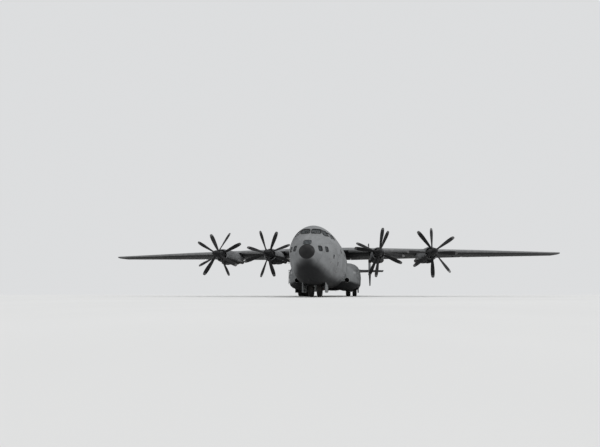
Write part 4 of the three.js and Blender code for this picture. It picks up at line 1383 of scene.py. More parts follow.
class Finishes:
    """Every material of the aircraft."""

    def __init__(self, effects: Effects) -> None:
        """Builds them.

        Args:
            effects: The shared effects.
        """
        self.effects = effects
        self._paints()
        self._metals()
        self._trims()

    def _make(self, look: Paint | Grained | Clear, slot: Slot) -> Finish:
        """Makes one finish in the record's slot that it belongs to."""
        return Finish(look.material(self.effects), slot)

    def _paints(self) -> None:
        """Mixes the paints, each with a darker grey that paints shade where the surface faces down."""
        self.hull = self._make(Paint(
            "hull_paint", UPPER_GREY, UNDERSIDE_SHADE, Sheeting.ROUND_HULL, edge=-0.8, softness=0.36,
        ), Slot.PAINT)
        self.fairing = self._make(Paint(
            "fairing_paint", (0.19, 0.197, 0.2), UNDERSIDE_SHADE, Sheeting.LONG_BOX, edge=-0.6, softness=0.45,
            grime=0.7, along_pitch=1.2, across_pitch=0.8,
        ), Slot.PAINT)
        # The hatch's painted shade on its downward faces is a lighter grey than the rest of the underside's.
        self.hatch = self._make(Paint(
            "hatch_paint", PANEL_GREY, (0.13, 0.135, 0.14), Sheeting.LONG_BOX, grime=0.6,
            along_pitch=0.8, across_pitch=0.5,
        ), Slot.PAINT)
        self.wing = self._make(Paint(
            "wing_paint", UPPER_GREY, (0.014, 0.0145, 0.0155), Sheeting.WING, edge=-0.25, softness=0.3,
            soot=True, along_pitch=0.9, across_pitch=0.55,
        ), Slot.PAINT)
        # On the fin the shade grey also fills the bands below 2.62 m and above 5.93 m in the model's metres:
        # the fin below the tailplane and its tip caps.
        self.fin = self._make(Paint(
            "fin_paint", PANEL_GREY, (0.022, 0.0225, 0.024), Sheeting.FIN, edge=-0.9, softness=0.2,
            low_dark=2.62, high_dark=5.93, along_pitch=0.7, across_pitch=0.5,
        ), Slot.PAINT)
        self.nacelle = self._make(Paint(
            "nacelle_paint", (0.17, 0.174, 0.178), (0.016, 0.016, 0.017), Sheeting.LONG_BOX, edge=-0.5,
            softness=0.4, grime=0.8, along_pitch=0.55, across_pitch=0.4,
        ), Slot.PAINT)

    def _metals(self) -> None:
        """Makes the metals and the enamels on them."""
        self.blade = self._make(Grained(
            "blade_black", (0.011, 0.011, 0.012), (0.035, 0.035, 0.035), 0.55, size=40.0,
            relief=0.0006, wear=0.3, specular=0.15,
        ), Slot.PROPELLER)
        self.blade_edge = self._make(Grained(
            "blade_edge", (0.09, 0.09, 0.09), (0.05, 0.05, 0.05), 0.4, 0.3, size=80.0,
        ), Slot.PROPELLER)
        self.hub = self._make(Grained(
            "wheel_enamel", (0.16, 0.19, 0.17), (0.08, 0.075, 0.065), 0.45, size=50.0,
            relief=0.0008, coat=0.1,
        ), Slot.STEEL)
        self.enamel = self._make(Grained(
            "leg_enamel", (0.3, 0.32, 0.32), (0.14, 0.13, 0.12), 0.4, size=40.0, relief=0.0008, coat=0.15,
        ), Slot.STEEL)
        self.steel = self._make(Grained(
            "bare_steel", (0.45, 0.45, 0.45), (0.22, 0.2, 0.18), 0.42, 1.0, size=70.0,
            draw=(1.0, 4.0, 1.0), relief=0.0006,
        ), Slot.STEEL)
        self.edge_metal = self._make(Grained(
            "edge_metal", (0.16, 0.163, 0.166), (0.24, 0.24, 0.24), 0.5, 0.5, size=50.0,
            draw=(0.4, 4.0, 4.0), relief=0.0005,
        ), Slot.PAINT)
        self.burnt = self._make(Grained(
            "burnt_steel", (0.16, 0.13, 0.11), (0.05, 0.045, 0.04), 0.5, 0.9, size=50.0,
        ), Slot.STEEL)

    def _trims(self) -> None:
        """Makes rubber, cloth, coatings, glass and lamps."""
        self.radome = self._make(Grained(
            "radome_black", (0.006, 0.0062, 0.0065), (0.013, 0.0132, 0.0135), 0.42, size=30.0,
            relief=0.0006, wear=0.35, specular=0.25,
        ), Slot.DARK)
        self.rubber = self._make(Grained(
            "tyre_rubber", (0.022, 0.021, 0.02), (0.07, 0.065, 0.06), 0.82, size=90.0, relief=0.0015,
        ), Slot.RUBBER)
        self.deck = self._make(Grained(
            "deck_coat", (0.13, 0.14, 0.135), (0.3, 0.3, 0.29), 0.7, size=110.0, wear=0.6,
        ), Slot.DECK)
        self.cloth = self._make(Grained(
            "seat_cloth", (0.06, 0.075, 0.06), (0.1, 0.11, 0.09), 0.9, size=160.0, relief=0.003,
        ), Slot.DECK)
        self.seal = self._make(Grained(
            "dark_seal", (0.012, 0.012, 0.013), (0.03, 0.03, 0.03), 0.7,
        ), Slot.DARK)
        self.dark = self._make(Grained(
            "well_dark", (0.05, 0.054, 0.052), (0.09, 0.09, 0.085), 0.75, size=30.0,
        ), Slot.STEEL)
        self.glass = self._make(Clear("cabin_glass", (0.16, 0.18, 0.19), 0.85, 0.03), Slot.GLAZING)
        self.lamp = self._make(Clear("lamp_clear", (0.8, 0.82, 0.82), 0.7), Slot.GLAZING)
        self.red = self._make(Clear("lamp_red", (0.1, 0.016, 0.013)), Slot.GLAZING)
        self.green = self._make(Clear("lamp_green", (0.03, 0.16, 0.07)), Slot.GLAZING)

    def of_node(self, name: str) -> Finish:
        """Looks up the finish of a carried-over solid.

        Args:
            name: The solid's name.

        Returns:
            Its finish.
        """
        table = (
            (self.hull, ("fuselage",)),
            (self.radome, ("nose_cap",)),
            (self.wing, ("wing_", "flap_", "aileron_", "tailplane", "elevator_")),
            (self.fin, ("fin_", "rudder_")),
            (self.nacelle, ("nacelle_",)),
            (self.blade, ("propeller_",)),
            (self.fairing, ("wheel_fairing_", "crew_door_", "main_gear_doors_", "nose_gear_door_")),
            (self.dark, ("nose_gear_bay",)),
            (self.hatch, ("loading_ramp", "cargo_door")),
            (self.deck, ("cargo_deck", "crew_deck")),
            (self.enamel, ("main_gear_legs_", "nose_gear_leg")),
            (self.rubber, ("main_wheels_", "nose_wheels")),
            (self.glass, ("cockpit_glazing", "navigator_glazing")),
        )
        return next(finish for finish, starts in table if name.startswith(starts))


def repaint(node: bpy.types.Object, finish: Finish, crease: float = 34.0) -> None:
    """Gives a carried-over solid its material and smooth shading.

    Args:
        node: The solid.
        finish: Its finish.
        crease: Angle in degrees past which an edge stays sharp.
    """
    node.data.materials.clear()
    node.data.materials.append(finish.material)
    node.data.polygons.foreach_set("use_smooth", [True] * len(node.data.polygons))
    weld = node.modifiers.new("weld", "WELD")
    weld.merge_threshold = 1e-5
    split = node.modifiers.new("split", "EDGE_SPLIT")
    split.split_angle = math.radians(crease)
    even = node.modifiers.new("even", "WEIGHTED_NORMAL")
    even.mode = "FACE_AREA"
    LOG.info("node %s: %s", node.name, finish.material.name)


@dataclass(frozen=True)
class HatchForm:
    """The outline of the loading hatch in the tail's underside."""

    sill: float = 1.6
    slope: float = 0.158
    hinge: float = 36.4
    narrow: float = 42.6
    far: float = 48.94
    taper: float = 6.3
    wide_half: float = 1.85
    far_half: float = 1.5

    def half(self, s: float) -> float:
        """Gives half the hatch's width at a station."""
        return self.wide_half - (self.wide_half - self.far_half) * clamp((s - self.narrow) / self.taper)

    def level(self, s: float) -> float:
        """Gives the sill's height at a station."""
        return self.sill + (s - self.hinge) * self.slope

    def under_sill(self, edges: Sequence[tuple[float, float]], rise: float = 0.0) -> Shape:
        """Makes a block that reaches from the sloping sill far down.

        Args:
            edges: Station and half width of each of its sections.
            rise: How far its top stands over the sill.

        Returns:
            The block.
        """
        rings = []
        for s, w in edges:
            low, high = self.level(s) - 9.0, self.level(s) + rise
            rings.append([vec(-w, s, low), vec(w, s, low), vec(w, s, high), vec(-w, s, high)])
        return Shape().loft(rings)


HATCH = HatchForm()


@dataclass(frozen=True)
class Pane:
    """A small window that lies flush on the hull, with its frame."""

    width: float
    height: float
    rounded: float
    grid: int
    band: float
    square: float
    stands: float
    steps: int = 28


@dataclass
class Hull:
    """The fuselage: smooth skins in place of the faceted solids, with its windows, doors and aerials."""

    finishes: Finishes
    split: float = 9.0
    cap_end: float = 0.28
    skin_thick: float = 0.2
    rear_thick: float = 0.1
    points: int = 96
    spacing: float = 0.4

    nose_stations: ClassVar[Values] = (
        0.02, 0.06, 0.12, 0.2, 0.28, 0.38, 0.5, 0.7, 0.95, 1.2, 1.5, 1.85, 2.2, 2.5, 2.85, 3.2, 3.6, 4.0, 4.4,
    )
    tail_stations: ClassVar[Values] = (56.6, 56.9, 57.2, 57.4, 57.6, 57.75, 57.85)
    # Cut windows: side distance, station, height, width, height of the pane, turn in degrees.
    cut_panes: ClassVar[Table] = (
        (0.5, 2.6, 5.86, 0.86, 0.52, 0.0),
        (1.42, 2.9, 5.72, 0.7, 0.56, 42.0),
        (2.1, 3.75, 5.62, 0.86, 0.5, 90.0),
        (2.3, 4.8, 5.62, 0.62, 0.46, 90.0),
        (1.1, 0.8, 4.02, 0.42, 0.4, 50.0),
        (1.5, 1.65, 4.05, 0.46, 0.4, 67.0),
    )
    porthole_stations: ClassVar[Values] = (7.4, 10.6, 12.4, 14.2, 17.2)
    porthole: ClassVar[Pane] = Pane(0.34, 0.34, 1.0, 6, 0.045, 2.0, 0.016)
    # Low side windows: side, station, height.
    lookouts: ClassVar[Table] = ((1, 2.9, 3.47), (1, 5.1, 3.0), (-1, 2.47, 3.43), (-1, 3.63, 2.74))
    lookout: ClassVar[Pane] = Pane(0.34, 0.3, 0.6, 6, 0.04, 3.0, 0.014)
    nose_pane: ClassVar[Pane] = Pane(0.62, 0.4, 0.35, 8, 0.04, 3.5, 0.014, 36)
    # Side doors and hatches: station, height, width, height of the outline.
    side_doors: ClassVar[Table] = ((5.9, 3.2, 0.85, 1.7), (33.2, 4.6, 0.95, 1.7), (11.5, 2.4, 1.1, 0.7))
    # Belly panels: station and width across.
    belly_panels: ClassVar[Table] = (
        (3.4, 0.5), (4.7, 0.7), (10.2, 0.9), (12.4, 0.6), (15.2, 0.8), (30.5, 0.9), (34.4, 0.6),
    )
    # Blade aerials: side distance, station, 1 above or -1 below, height, length.
    aerials: ClassVar[Table] = (
        (0.0, 9.6, 1, 0.55, 0.5),
        (0.0, 13.6, 1, 0.4, 0.4),
        (0.0, 34.0, 1, 0.6, 0.55),
        (0.0, 39.5, 1, 0.45, 0.45),
        (0.0, 9.9, -1, 0.32, 0.36),
        (0.5, 13.0, -1, 0.26, 0.3),
        (-0.5, 30.0, -1, 0.28, 0.3),
    )
    # An aerial's sections: share of its height and of its length.
    aerial_form: ClassVar[Table] = ((-0.15, 1.0), (0.0, 1.0), (0.6, 0.8), (0.92, 0.6), (1.0, 0.4))
    # Turned outlines of the lamps: radius and distance off the skin.
    beacon_form: ClassVar[Table] = ((0.0, 0.2), (0.07, 0.18), (0.11, 0.1), (0.12, 0.0), (0.12, -0.08))
    belly_lamp_form: ClassVar[Table] = ((0.0, 0.06), (0.08, 0.05), (0.11, 0.02), (0.12, -0.04))
    tail_lamp_form: ClassVar[Table] = ((0.0, 0.12), (0.05, 0.1), (0.08, 0.04), (0.09, -0.1))

    def __post_init__(self) -> None:
        """Prepares the whole outer form for pieces that are laid on it."""
        form = Shape().loft(self.rings(0.02, LENGTH))
        self.skin = Skin(form.vertices, form.faces)

    def ring(self, s: float, grow: float = 0.0) -> Ring:
        """Makes the hull's outline at a station, or one that stands outside it."""
        half, keel, roof, widest, square = (curve_value(HULL_ROWS, s, c) for c in range(1, 6))
        return oval(s, 0.0, half + grow, keel - grow, roof + grow, widest, square, self.points)

    def rings(self, start: float, end: float, grow: float = 0.0) -> list[Ring]:
        """Makes outlines at close stations.

        Args:
            start: First station.
            end: Last station.
            grow: How far they stand outside the hull's own.

        Returns:
            The outlines.
        """
        marks = {*self.nose_stations, *self.tail_stations, *(17.0 + 2.0 * i for i in range(10))}
        marks |= {4.4 + self.spacing * i for i in range(1, 34)}
        marks |= {35.6 + self.spacing * i for i in range(52)}
        inner = sorted(m for m in marks if start + 0.03 < m < end - 0.03)
        return [self.ring(s, grow) for s in (start, *inner, end)]

    def build(self) -> None:
        """Builds the skins and everything on them."""
        self._nose()
        self._centre()
        self._rear()
        self._windows()
        self._wipers()
        self._doors()
        self._aerials()
        self._lamps()
        self._inside()

    def _panes(self) -> list[tuple[Spot, float, float]]:
        """Places the cabin windows that are cut out of the skin.

        Returns:
            Each one's place, width and height.
        """
        panes = []
        for x, s, z, width, height, turn in self.cut_panes:
            for _, side in SIDES:
                toward = Matrix.Rotation(math.radians(side * turn), 3, "Z") @ AFT
                panes.append((Spot(vec(side * x, s, z) - toward * 1.2, toward), width, height))
        return panes

    def _window_cutter(self, spot: Spot, width: float, height: float, depth: float = 2.4) -> Shape:
        """Makes the block that cuts one window.

        Args:
            spot: The window's place.
            width: Its width.
            height: Its height.
            depth: How far the block reaches inwards.

        Returns:
            The block.
        """
        side, up = spot.axes()
        outline = squared_oval(width / 2, height / 2, 4.0, 24)
        return Shape().loft([[spot.middle + side * a + up * b + spot.toward * along for a, b in outline]
                             for along in (0.0, depth)])

    def _nose(self) -> None:
        """Builds the front skin, with its windows and wheel well cut out, and the nose's tip."""
        whole = Shape().loft(self.rings(self.cap_end + 0.001, self.split - 0.001))
        cutters = [Shape().loft(self.rings(0.62, 10.0, -self.skin_thick))]
        cutters += [self._window_cutter(*pane) for pane in self._panes()]
        cutters.append(Shape().block(vec(-1.1, 5.35, 0.5), vec(1.1, 8.0, 2.0)))
        hang("nose_skin", carve("nose_skin", whole, cutters), [self.finishes.hull],
             stands_for="fuselage_nose")
        tip = Shape().loft([self.ring(s) for s in (0.0, 0.02, 0.05, 0.09, 0.14, 0.2, self.cap_end)])
        tip.build("nose_tip", self.finishes.radome, stands_for="nose_cap")
        band = ((-0.012, -0.02), (-0.012, 0.008), (0.012, 0.008), (0.012, -0.02))
        joint = Shape().loft([self.ring(self.cap_end + aft, grow) for aft, grow in band], caps=False)
        joint.build("nose_tip_band", self.finishes.seal)

    def _centre(self) -> None:
        """Builds the middle skin and the hump over the wing."""
        outer = self.rings(self.split, HATCH.hinge - 0.001)
        inner = self.rings(self.split, HATCH.hinge - 0.001, -self.skin_thick)
        tube = Shape().loft([*outer, *inner[::-1], outer[0]], caps=False)
        tube.build("centre_skin", self.finishes.hull, stands_for="fuselage_centre")
        rings = []
        for i in range(40):
            s = 16.8 + 0.4 * i
            half, roof = (curve_value(HUMP_ROWS, s, column) for column in (1, 2))
            rings.append(oval(s, 0.0, half, 5.2, roof, 6.2, 2.6, 64, 2.6))
        Shape().loft(rings).build("wing_hump", self.finishes.hull)

    def _rear(self) -> None:
        """Builds the tail skin with the loading hatch cut out of its underside."""
        whole = Shape().loft(self.rings(HATCH.hinge, LENGTH))
        floor = HATCH.under_sill([(s, 4.0) for s in (HATCH.hinge - 2, HATCH.narrow, LENGTH + 1)])
        hold = carve("hold_form", Shape().loft(self.rings(35.6, 57.4, -self.rear_thick)), [floor])
        inner = Shape().add([to_full(v.co) for v in hold.vertices], [p.vertices for p in hold.polygons])
        stations = (HATCH.hinge - 1, HATCH.narrow, HATCH.far)
        opening = HATCH.under_sill([(s, HATCH.half(s)) for s in stations], 0.001)
        hang("tail_skin", carve("tail_skin", whole, [inner, opening]), [self.finishes.hull],
             stands_for="fuselage_rear")

    def _windows(self) -> None:
        """Puts glass and frames into the window openings, and flush panes along the sides."""
        glass, frames = Shape(), Shape()
        for spot, width, height in self._panes():
            glass.plate(self.skin, spot, width * 1.02, height * 1.02, rounded=0.45, lift=-0.03, sink=0.02)
            frames.rim(self.skin, spot, width * 0.97, height * 0.97, 0.05, lift=0.014)
        flush = [(Spot(vec(side * 5, s, 4.9), vec(-side, 0, -0.12)), self.porthole)
                 for s in self.porthole_stations for _, side in SIDES]
        flush += [(Spot(vec(side * 5, s, z), vec(-side, 0.15, 0.05)), self.lookout)
                  for side, s, z in self.lookouts]
        flush.append((Spot(vec(0, -1, 4.52), AFT), self.nose_pane))
        for spot, pane in flush:
            glass.plate(self.skin, spot, pane.width, pane.height, pane.rounded, 0.004, pane.grid)
            frames.rim(self.skin, spot, pane.width, pane.height, pane.band, pane.square, pane.stands,
                       pane.steps)
        glass.build("window_glass", self.finishes.glass)
        frames.build("window_frames", self.finishes.seal)

    def _wipers(self) -> None:
        """Adds the windscreen wipers."""
        wipers = Shape()
        for _, side in SIDES:
            start = self.skin.meet(vec(side * 0.12, 0.5, 5.62), AFT)
            end = self.skin.meet(vec(side * 0.66, 0.5, 6.0), AFT)
            wipers.bar(start + vec(0, -0.04, 0.02), end + vec(0, -0.05, 0.02), 0.014, 6)
            wipers.bar(start + vec(0, 0.05, 0), start + vec(0, -0.06, 0.02), 0.025, 8)
        wipers.build("windscreen_wipers", self.finishes.seal)

    def _doors(self) -> None:
        """Outlines the side doors, panels and the loading hatch on the hull."""
        lines, grips = Shape(), Shape()
        for _, side in SIDES:
            inwards = vec(-side, 0, 0)
            for s, z, width, height in self.side_doors:
                spot = Spot(vec(side * 6, s, z), inwards)
                lines.rim(self.skin, spot, width, height, 0.02, square=7.0, lift=0.008, count=56)
                grip = self.skin.meet(vec(side * 6, s + width * 0.36, z), inwards)
                grips.bar(grip + vec(0, -0.1, 0), grip + vec(side * 0.02, 0.1, 0), 0.02, 6)
        for s, width in self.belly_panels:
            spot = Spot(vec(0.35 if s > 9 else 0.0, s, -1), UP, AFT)
            lines.rim(self.skin, spot, width, 0.6, 0.018, square=6.0, lift=0.006)
        for x in (1, -1):
            edge = [self.skin.meet(vec(x * (HATCH.half(s) + 0.03), s, -1), UP)
                    for s in (36.45, 38.5, 40.5, 42.6, 44.7, 46.8, 48.9)]
            lines.hose(edge, 0.014, 6)
        for s in (36.38, 42.62, 48.93):
            w = HATCH.half(s)
            across = [self.skin.meet(vec(w * t / 3, s, -1), UP) for t in range(-3, 4)]
            lines.hose(across, 0.012, 6)
        lines.build("door_outlines", self.finishes.seal)
        grips.build("door_grips", self.finishes.steel)

    def _blade_aerial(self, shape: Shape, base: Vector, up: float, height: float, chord: float,
                      rake: float = 0.5) -> None:
        """Adds a thin swept aerial that stands off the hull.

        Args:
            shape: The shape that it joins.
            base: Its foot's middle.
            up: 1 above the hull and -1 below it.
            height: How far it stands off.
            chord: Its length along the hull.
            rake: How far its tip lies aft, as a share of its height.
        """
        rings = []
        for share, size in self.aerial_form:
            c, t = chord * size / 2, 0.12 * chord * size
            s, z = base.y + rake * height * max(share, 0.0), base.z + up * height * share
            outline = ((-c, 0.0), (-0.6 * c, t), (0.2 * c, t), (c, 0.0), (0.2 * c, -t), (-0.6 * c, -t))
            rings.append([vec(base.x + b, s + a, z) for a, b in outline])
        shape.loft(rings)

    def _aerials(self) -> None:
        """Adds aerials, probes and drains."""
        aerials, metal = Shape(), Shape()
        for x, s, up, height, chord in self.aerials:
            foot = self.skin.meet(vec(x, s, 12 if up > 0 else -3), vec(0, 0, -up))
            self._blade_aerial(aerials, foot, up, height, chord)
        aerials.build("blade_aerials", self.finishes.radome)
        for _, side in SIDES:
            for s, z in ((1.9, 3.1), (2.3, 2.8)):
                root, normal = self.skin.touch(vec(side * 4, s, z), vec(-side, 0.1, 0.1))
                knee = root + normal * 0.2
                metal.bar(root - normal * 0.03, knee, 0.035, 8, 0.025)
                metal.bar(knee + vec(0, 0.03, 0), knee + vec(0, -0.42, 0), 0.022, 8, 0.014)
        for x, s in ((0.9, 11.2), (-0.9, 19.5), (0.7, 32.0)):
            root = self.skin.meet(vec(x, s, -2), UP)
            metal.bar(root + vec(0, 0, 0.05), root + vec(0, 0.12, -0.22), 0.03, 8, 0.02)
        metal.build("probes_and_drains", self.finishes.steel)

    def _lamps(self) -> None:
        """Adds the beacons, the lamp under the belly and the one on the tail."""
        beacons, white = Shape(), Shape()
        beacons.lathe(self.beacon_form, vec(0, 25.0, 7.52), UP, 20)
        beacons.lathe(self.beacon_form, self.skin.meet(vec(0, 14.8, -2), UP), -UP, 20)
        beacons.build("beacons", self.finishes.red)
        white.lathe(self.belly_lamp_form, self.skin.meet(vec(1.14, 14.22, -2), UP), -UP, 20)
        white.lathe(self.tail_lamp_form, vec(0, LENGTH - 0.13, 5.21), AFT, 20)
        white.build("white_lamps", self.finishes.lamp)

    def _inside(self) -> None:
        """Dresses the flight deck's panels and controls, the hold's floor and its frames."""
        controls, rails, ribs = Shape(), Shape(), Shape()
        for x in (0.85, -0.85):
            controls.bar(vec(x, 3.0, 3.4), vec(x, 2.95, 4.2), 0.04)
            controls.bar(vec(x - 0.22, 2.9, 4.25), vec(x + 0.22, 2.9, 4.25), 0.025)
            for off in (-0.08, 0.08):
                controls.bar(vec(x + off, 3.89, 4.7), vec(x + off, 3.88, 4.9), 0.013, 8)
        for x in (-0.9, -0.6, -0.3, 0.0, 0.3, 0.6, 0.9):
            controls.lathe([(0.0, 0.02), (0.09, 0.02), (0.1, 0.0)], vec(x, 2.61, 4.35), AFT, 16)
        controls.build("flight_controls", self.finishes.steel)
        for x in (-1.5, -0.9, -0.3, 0.3, 0.9, 1.5):
            rails.block(vec(x - 0.05, 9.3, 1.62), vec(x + 0.05, 36.2, 1.645))
        eye = ((0.07, 0.0), (0.1, 0.0), (0.1, 0.03), (0.07, 0.03))
        for i in range(13):
            for x in (-1.75, 1.75):
                rails.lathe(eye, vec(x, 10.4 + 2.0 * i, 1.62), UP, 12, True)
        rails.build("hold_floor_rails", self.finishes.steel)
        for s in (10.2 + 1.1 * i for i in range(23)):
            if not 19.6 < s < 28.4:
                outer, inner = self.ring(s, -self.skin_thick), self.ring(s, -self.skin_thick - 0.09)
                back, far = ([vec(p.x, p.y + 0.06, p.z) for p in ring] for ring in (inner, outer))
                ribs.loft([outer, inner, back, far], caps=False)
        ribs.build("hold_frames", self.finishes.dark, slot=Slot.DECK)


@dataclass
class CrewSeats:
    """The two pilots' cushions: a seat pad, a back pad and a head rest each."""

    finishes: Finishes
    side: float = 0.85
    seat_top: float = 3.853
    back_face: float = 3.797
    sunk: float = 0.032

    def build(self) -> None:
        """Sews every cushion."""
        for name, side in SIDES:
            x = side * self.side
            pad = Shape().cushion(vec(x, 3.55, self.seat_top + self.sunk), OUT, AFT, (0.5, 0.44, 0.1), 3)
            self._declare(pad, f"seat_pad_{name}")
            back = Shape().cushion(vec(x, self.back_face - self.sunk, 4.36), OUT, UP, (0.48, 0.66, 0.09), 4)
            self._declare(back, f"seat_back_pad_{name}")
            head = Shape().cushion(vec(x, self.back_face + 0.05, 4.94), OUT, UP, (0.3, 0.2, 0.07), 0)
            self._declare(head, f"head_rest_{name}")

    def _declare(self, shape: Shape, name: str) -> None:
        piece = shape.build(name, self.finishes.cloth, self.finishes.seal, crease=60)


@dataclass
class Hatch:
    """The loading ramp's treads and rails, and the cargo door's ribs."""

    finishes: Finishes
    ramp: tuple[float, float] = (36.9, 42.3)
    door: tuple[float, float] = (43.1, 48.0)
    wall: float = 0.3
    ramp_depth: float = 0.24
    door_depth: float = 0.3

    def _strip(self, shape: Shape, start: tuple[float, float], end: tuple[float, float], wide: float,
               depth: float, tall: float) -> None:
        """Adds one straight strip on a tray's sloping floor.

        Args:
            shape: The shape that it joins.
            start: Side distance and station of one end.
            end: Side distance and station of the other end.
            wide: Its width.
            depth: How far the tray's floor lies under the sill.
            tall: How far it stands off the floor.
        """
        lengthwise = abs(end[1] - start[1]) > abs(end[0] - start[0])
        rings = []
        for x, s in (start, end):
            corners = []
            for off, rise in ((-wide, -0.01), (wide, -0.01), (wide * 0.8, tall), (-wide * 0.8, tall)):
                at_x, at_s = (x + off / 2, s) if lengthwise else (x, s + off / 2)
                corners.append(vec(at_x, at_s, HATCH.level(at_s) - depth + rise))
            rings.append(corners)
        shape.loft(rings)

    def _cross_strips(self, reach: tuple[float, float], count: int, wide: float, depth: float,
                      tall: float) -> Shape:
        """Lays strips across a tray, from wall to wall.

        Args:
            reach: Stations of the first strip and the last one.
            count: How many there are.
            wide: Width of each.
            depth: How far the tray's floor lies under the sill.
            tall: How far each stands off the floor.

        Returns:
            The strips.
        """
        shape = Shape()
        for s in between(*reach, count):
            w = HATCH.half(s) - self.wall
            self._strip(shape, (-w, s), (w, s), wide, depth, tall)
        return shape

    def build(self) -> None:
        """Builds what the two pieces of the hatch carry."""
        treads = self._cross_strips(self.ramp, 20, 0.05, self.ramp_depth, 0.022)
        ribs = self._cross_strips(self.door, 9, 0.07, self.door_depth, 0.12)
        rails = Shape()
        for x in (-1.1, -0.4, 0.4, 1.1):
            self._strip(rails, (x, self.ramp[0]), (x, self.ramp[1]), 0.1, self.ramp_depth, 0.035)
        for x in (-0.8, 0.0, 0.8):
            self._strip(ribs, (x, self.door[0]), (x, self.door[1]), 0.06, self.door_depth, 0.09)
        treads.build("ramp_treads", self.finishes.steel, body="ramp")
        rails.build("ramp_rails", self.finishes.enamel, body="ramp")
        ribs.build("cargo_door_ribs", self.finishes.enamel, body="rear_door")


@dataclass
class Fairing:
    """One wheel fairing with its intake, panels, lamps, grilles and the crew door's handle."""

    finishes: Finishes
    name: str
    side: int
    skin: Skin

    # Turned outlines of an intake: radius and distance along it.
    intake_lip: ClassVar[Table] = ((0.262, 0.3), (0.262, -0.02), (0.28, -0.05), (0.3, -0.02), (0.3, 0.3))
    intake_duct: ClassVar[Table] = ((0.255, -0.02), (0.255, 1.4), (0.0, 1.4))
    # Access panels: station, height, width, height of the outline.
    panels: ClassVar[Table] = (
        (19.2, 2.6, 1.0, 0.8), (30.2, 2.7, 1.4, 0.9), (32.6, 2.7, 0.9, 0.9), (15.2, 2.7, 0.7, 0.9),
        (22.0, 3.4, 1.2, 0.5), (26.4, 3.4, 1.2, 0.5),
    )

    def build(self) -> None:
        """Adds everything that is on the fairing."""
        self._intake()
        self._panels()
        self._trims()
        self._handle()
        if self.name == "right":
            self._probe()

    def _intake(self) -> None:
        """Lines the round air intake in the fairing's nose, its duct and closed end in near-black as painted
        shade.
        """
        start, end = vec(self.side * 2.95, 12.4, 1.9), vec(self.side * 3.15, 14.9, 2.0)
        along = (end - start).normalized()
        mouth = start + along * 0.95
        shape = Shape().lathe(self.intake_lip, mouth, along, 28)
        # The duct and the disc that closes it take the near-black seal finish: painted shade inside the
        # intake.
        shape.brush = 1
        shape.lathe(self.intake_duct, mouth, along, 28)
        shape.build(f"fairing_intake_{self.name}", self.finishes.steel, self.finishes.seal)

    def _panels(self) -> None:
        """Outlines the crew door and the access panels."""
        lines, inwards = Shape(), vec(-self.side, 0, 0)
        for s, z, width, height in self.panels:
            spot = Spot(vec(self.side * 8, s, z), inwards)
            lines.rim(self.skin, spot, width, height, 0.02, square=8.0, lift=0.008, count=48)
        door = Spot(vec(self.side * 8, 17.0, 2.45), inwards)
        lines.rim(self.skin, door, 1.02, 1.84, 0.03, square=12.0, lift=0.01, count=64)
        for s in (30.6, 33.6):
            spot = Spot(vec(self.side * 3.9, s, -1), UP, AFT)
            lines.rim(self.skin, spot, 0.9, 1.2, 0.02, square=8.0, lift=0.006)
        lines.build(f"fairing_seams_{self.name}", self.finishes.seal)

    def _trims(self) -> None:
        """Adds grilles and lamp covers."""
        grilles, lamps = Shape(), Shape()
        for s in (29.3, 31.4):
            for k in range(7):
                spot = Spot(vec(self.side * 8, s, 1.55 + 0.07 * k), vec(-self.side, 0, 0))
                grilles.plate(self.skin, spot, 0.6, 0.03, lift=0.03, grid=3)
        lamps.plate(self.skin, Spot(vec(self.side * 3.75, 29.3, -1), UP, AFT), 0.55, 0.8, rounded=0.3)
        lamps.plate(self.skin, Spot(vec(self.side * 3.9, 12.0, 2.9), AFT), 0.3, 0.3, rounded=1.0)
        grilles.build(f"fairing_grilles_{self.name}", self.finishes.steel)
        lamps.build(f"fairing_lamps_{self.name}", self.finishes.lamp)

    def _handle(self) -> None:
        """Adds the crew door's handle."""
        handle = Shape().bar(vec(self.side * 4.78, 17.28, 2.3), vec(self.side * 4.78, 17.4, 2.3), 0.02, 8)
        handle.build(f"crew_door_handle_{self.name}", self.finishes.steel, body=f"crew_door_{self.name}")

    def _probe(self) -> None:
        """Adds the short air probe on the right fairing."""
        root = self.skin.meet(vec(-8, 19.6, 2.2), OUT)
        probe = Shape().bar(root + vec(0.05, 0, 0), root + vec(-0.12, -0.08, 0.0), 0.07, 10, 0.05)
        probe.build("fairing_probe", self.finishes.seal)


def wicks(surface: Surface, spans: Iterable[float], tip: Vector) -> Shape:
    """Sets static wicks along a trailing edge.

    Args:
        surface: The wing, tailplane or fin.
        spans: Where they stand along the span.
        tip: Where each one's tip lies from the edge.

    Returns:
        The wicks, on the left side.
    """
    shape = Shape()
    for x in spans:
        edge = surface.point(x, 1.0)
        shape.bar(edge + vec(0, -0.05, 0), edge + tip, 0.012, 6, 0.006)
    return shape


def tab_lines(surface: Surface, start: float, end: float, edge: float, front: float = 0.9) -> Shape:
    """Outlines a trim tab above and below a surface.

    Args:
        surface: The wing or tailplane.
        start: Its inner end along the span.
        end: Its outer end.
        edge: How far aft its ends are drawn, as a share of the chord.
        front: Where its hinge line is, as a share of the chord.

    Returns:
        The outlines, on the left side.
    """
    shape = Shape()
    for level in (1, -1):
        points = [[surface.point(x, share, level, 0.002) for share in (front, edge)] for x in (start, end)]
        for pair in (*points, (points[0][0], points[1][0])):
            shape.bar(pair[0], pair[1], 0.012, 6)
    return shape


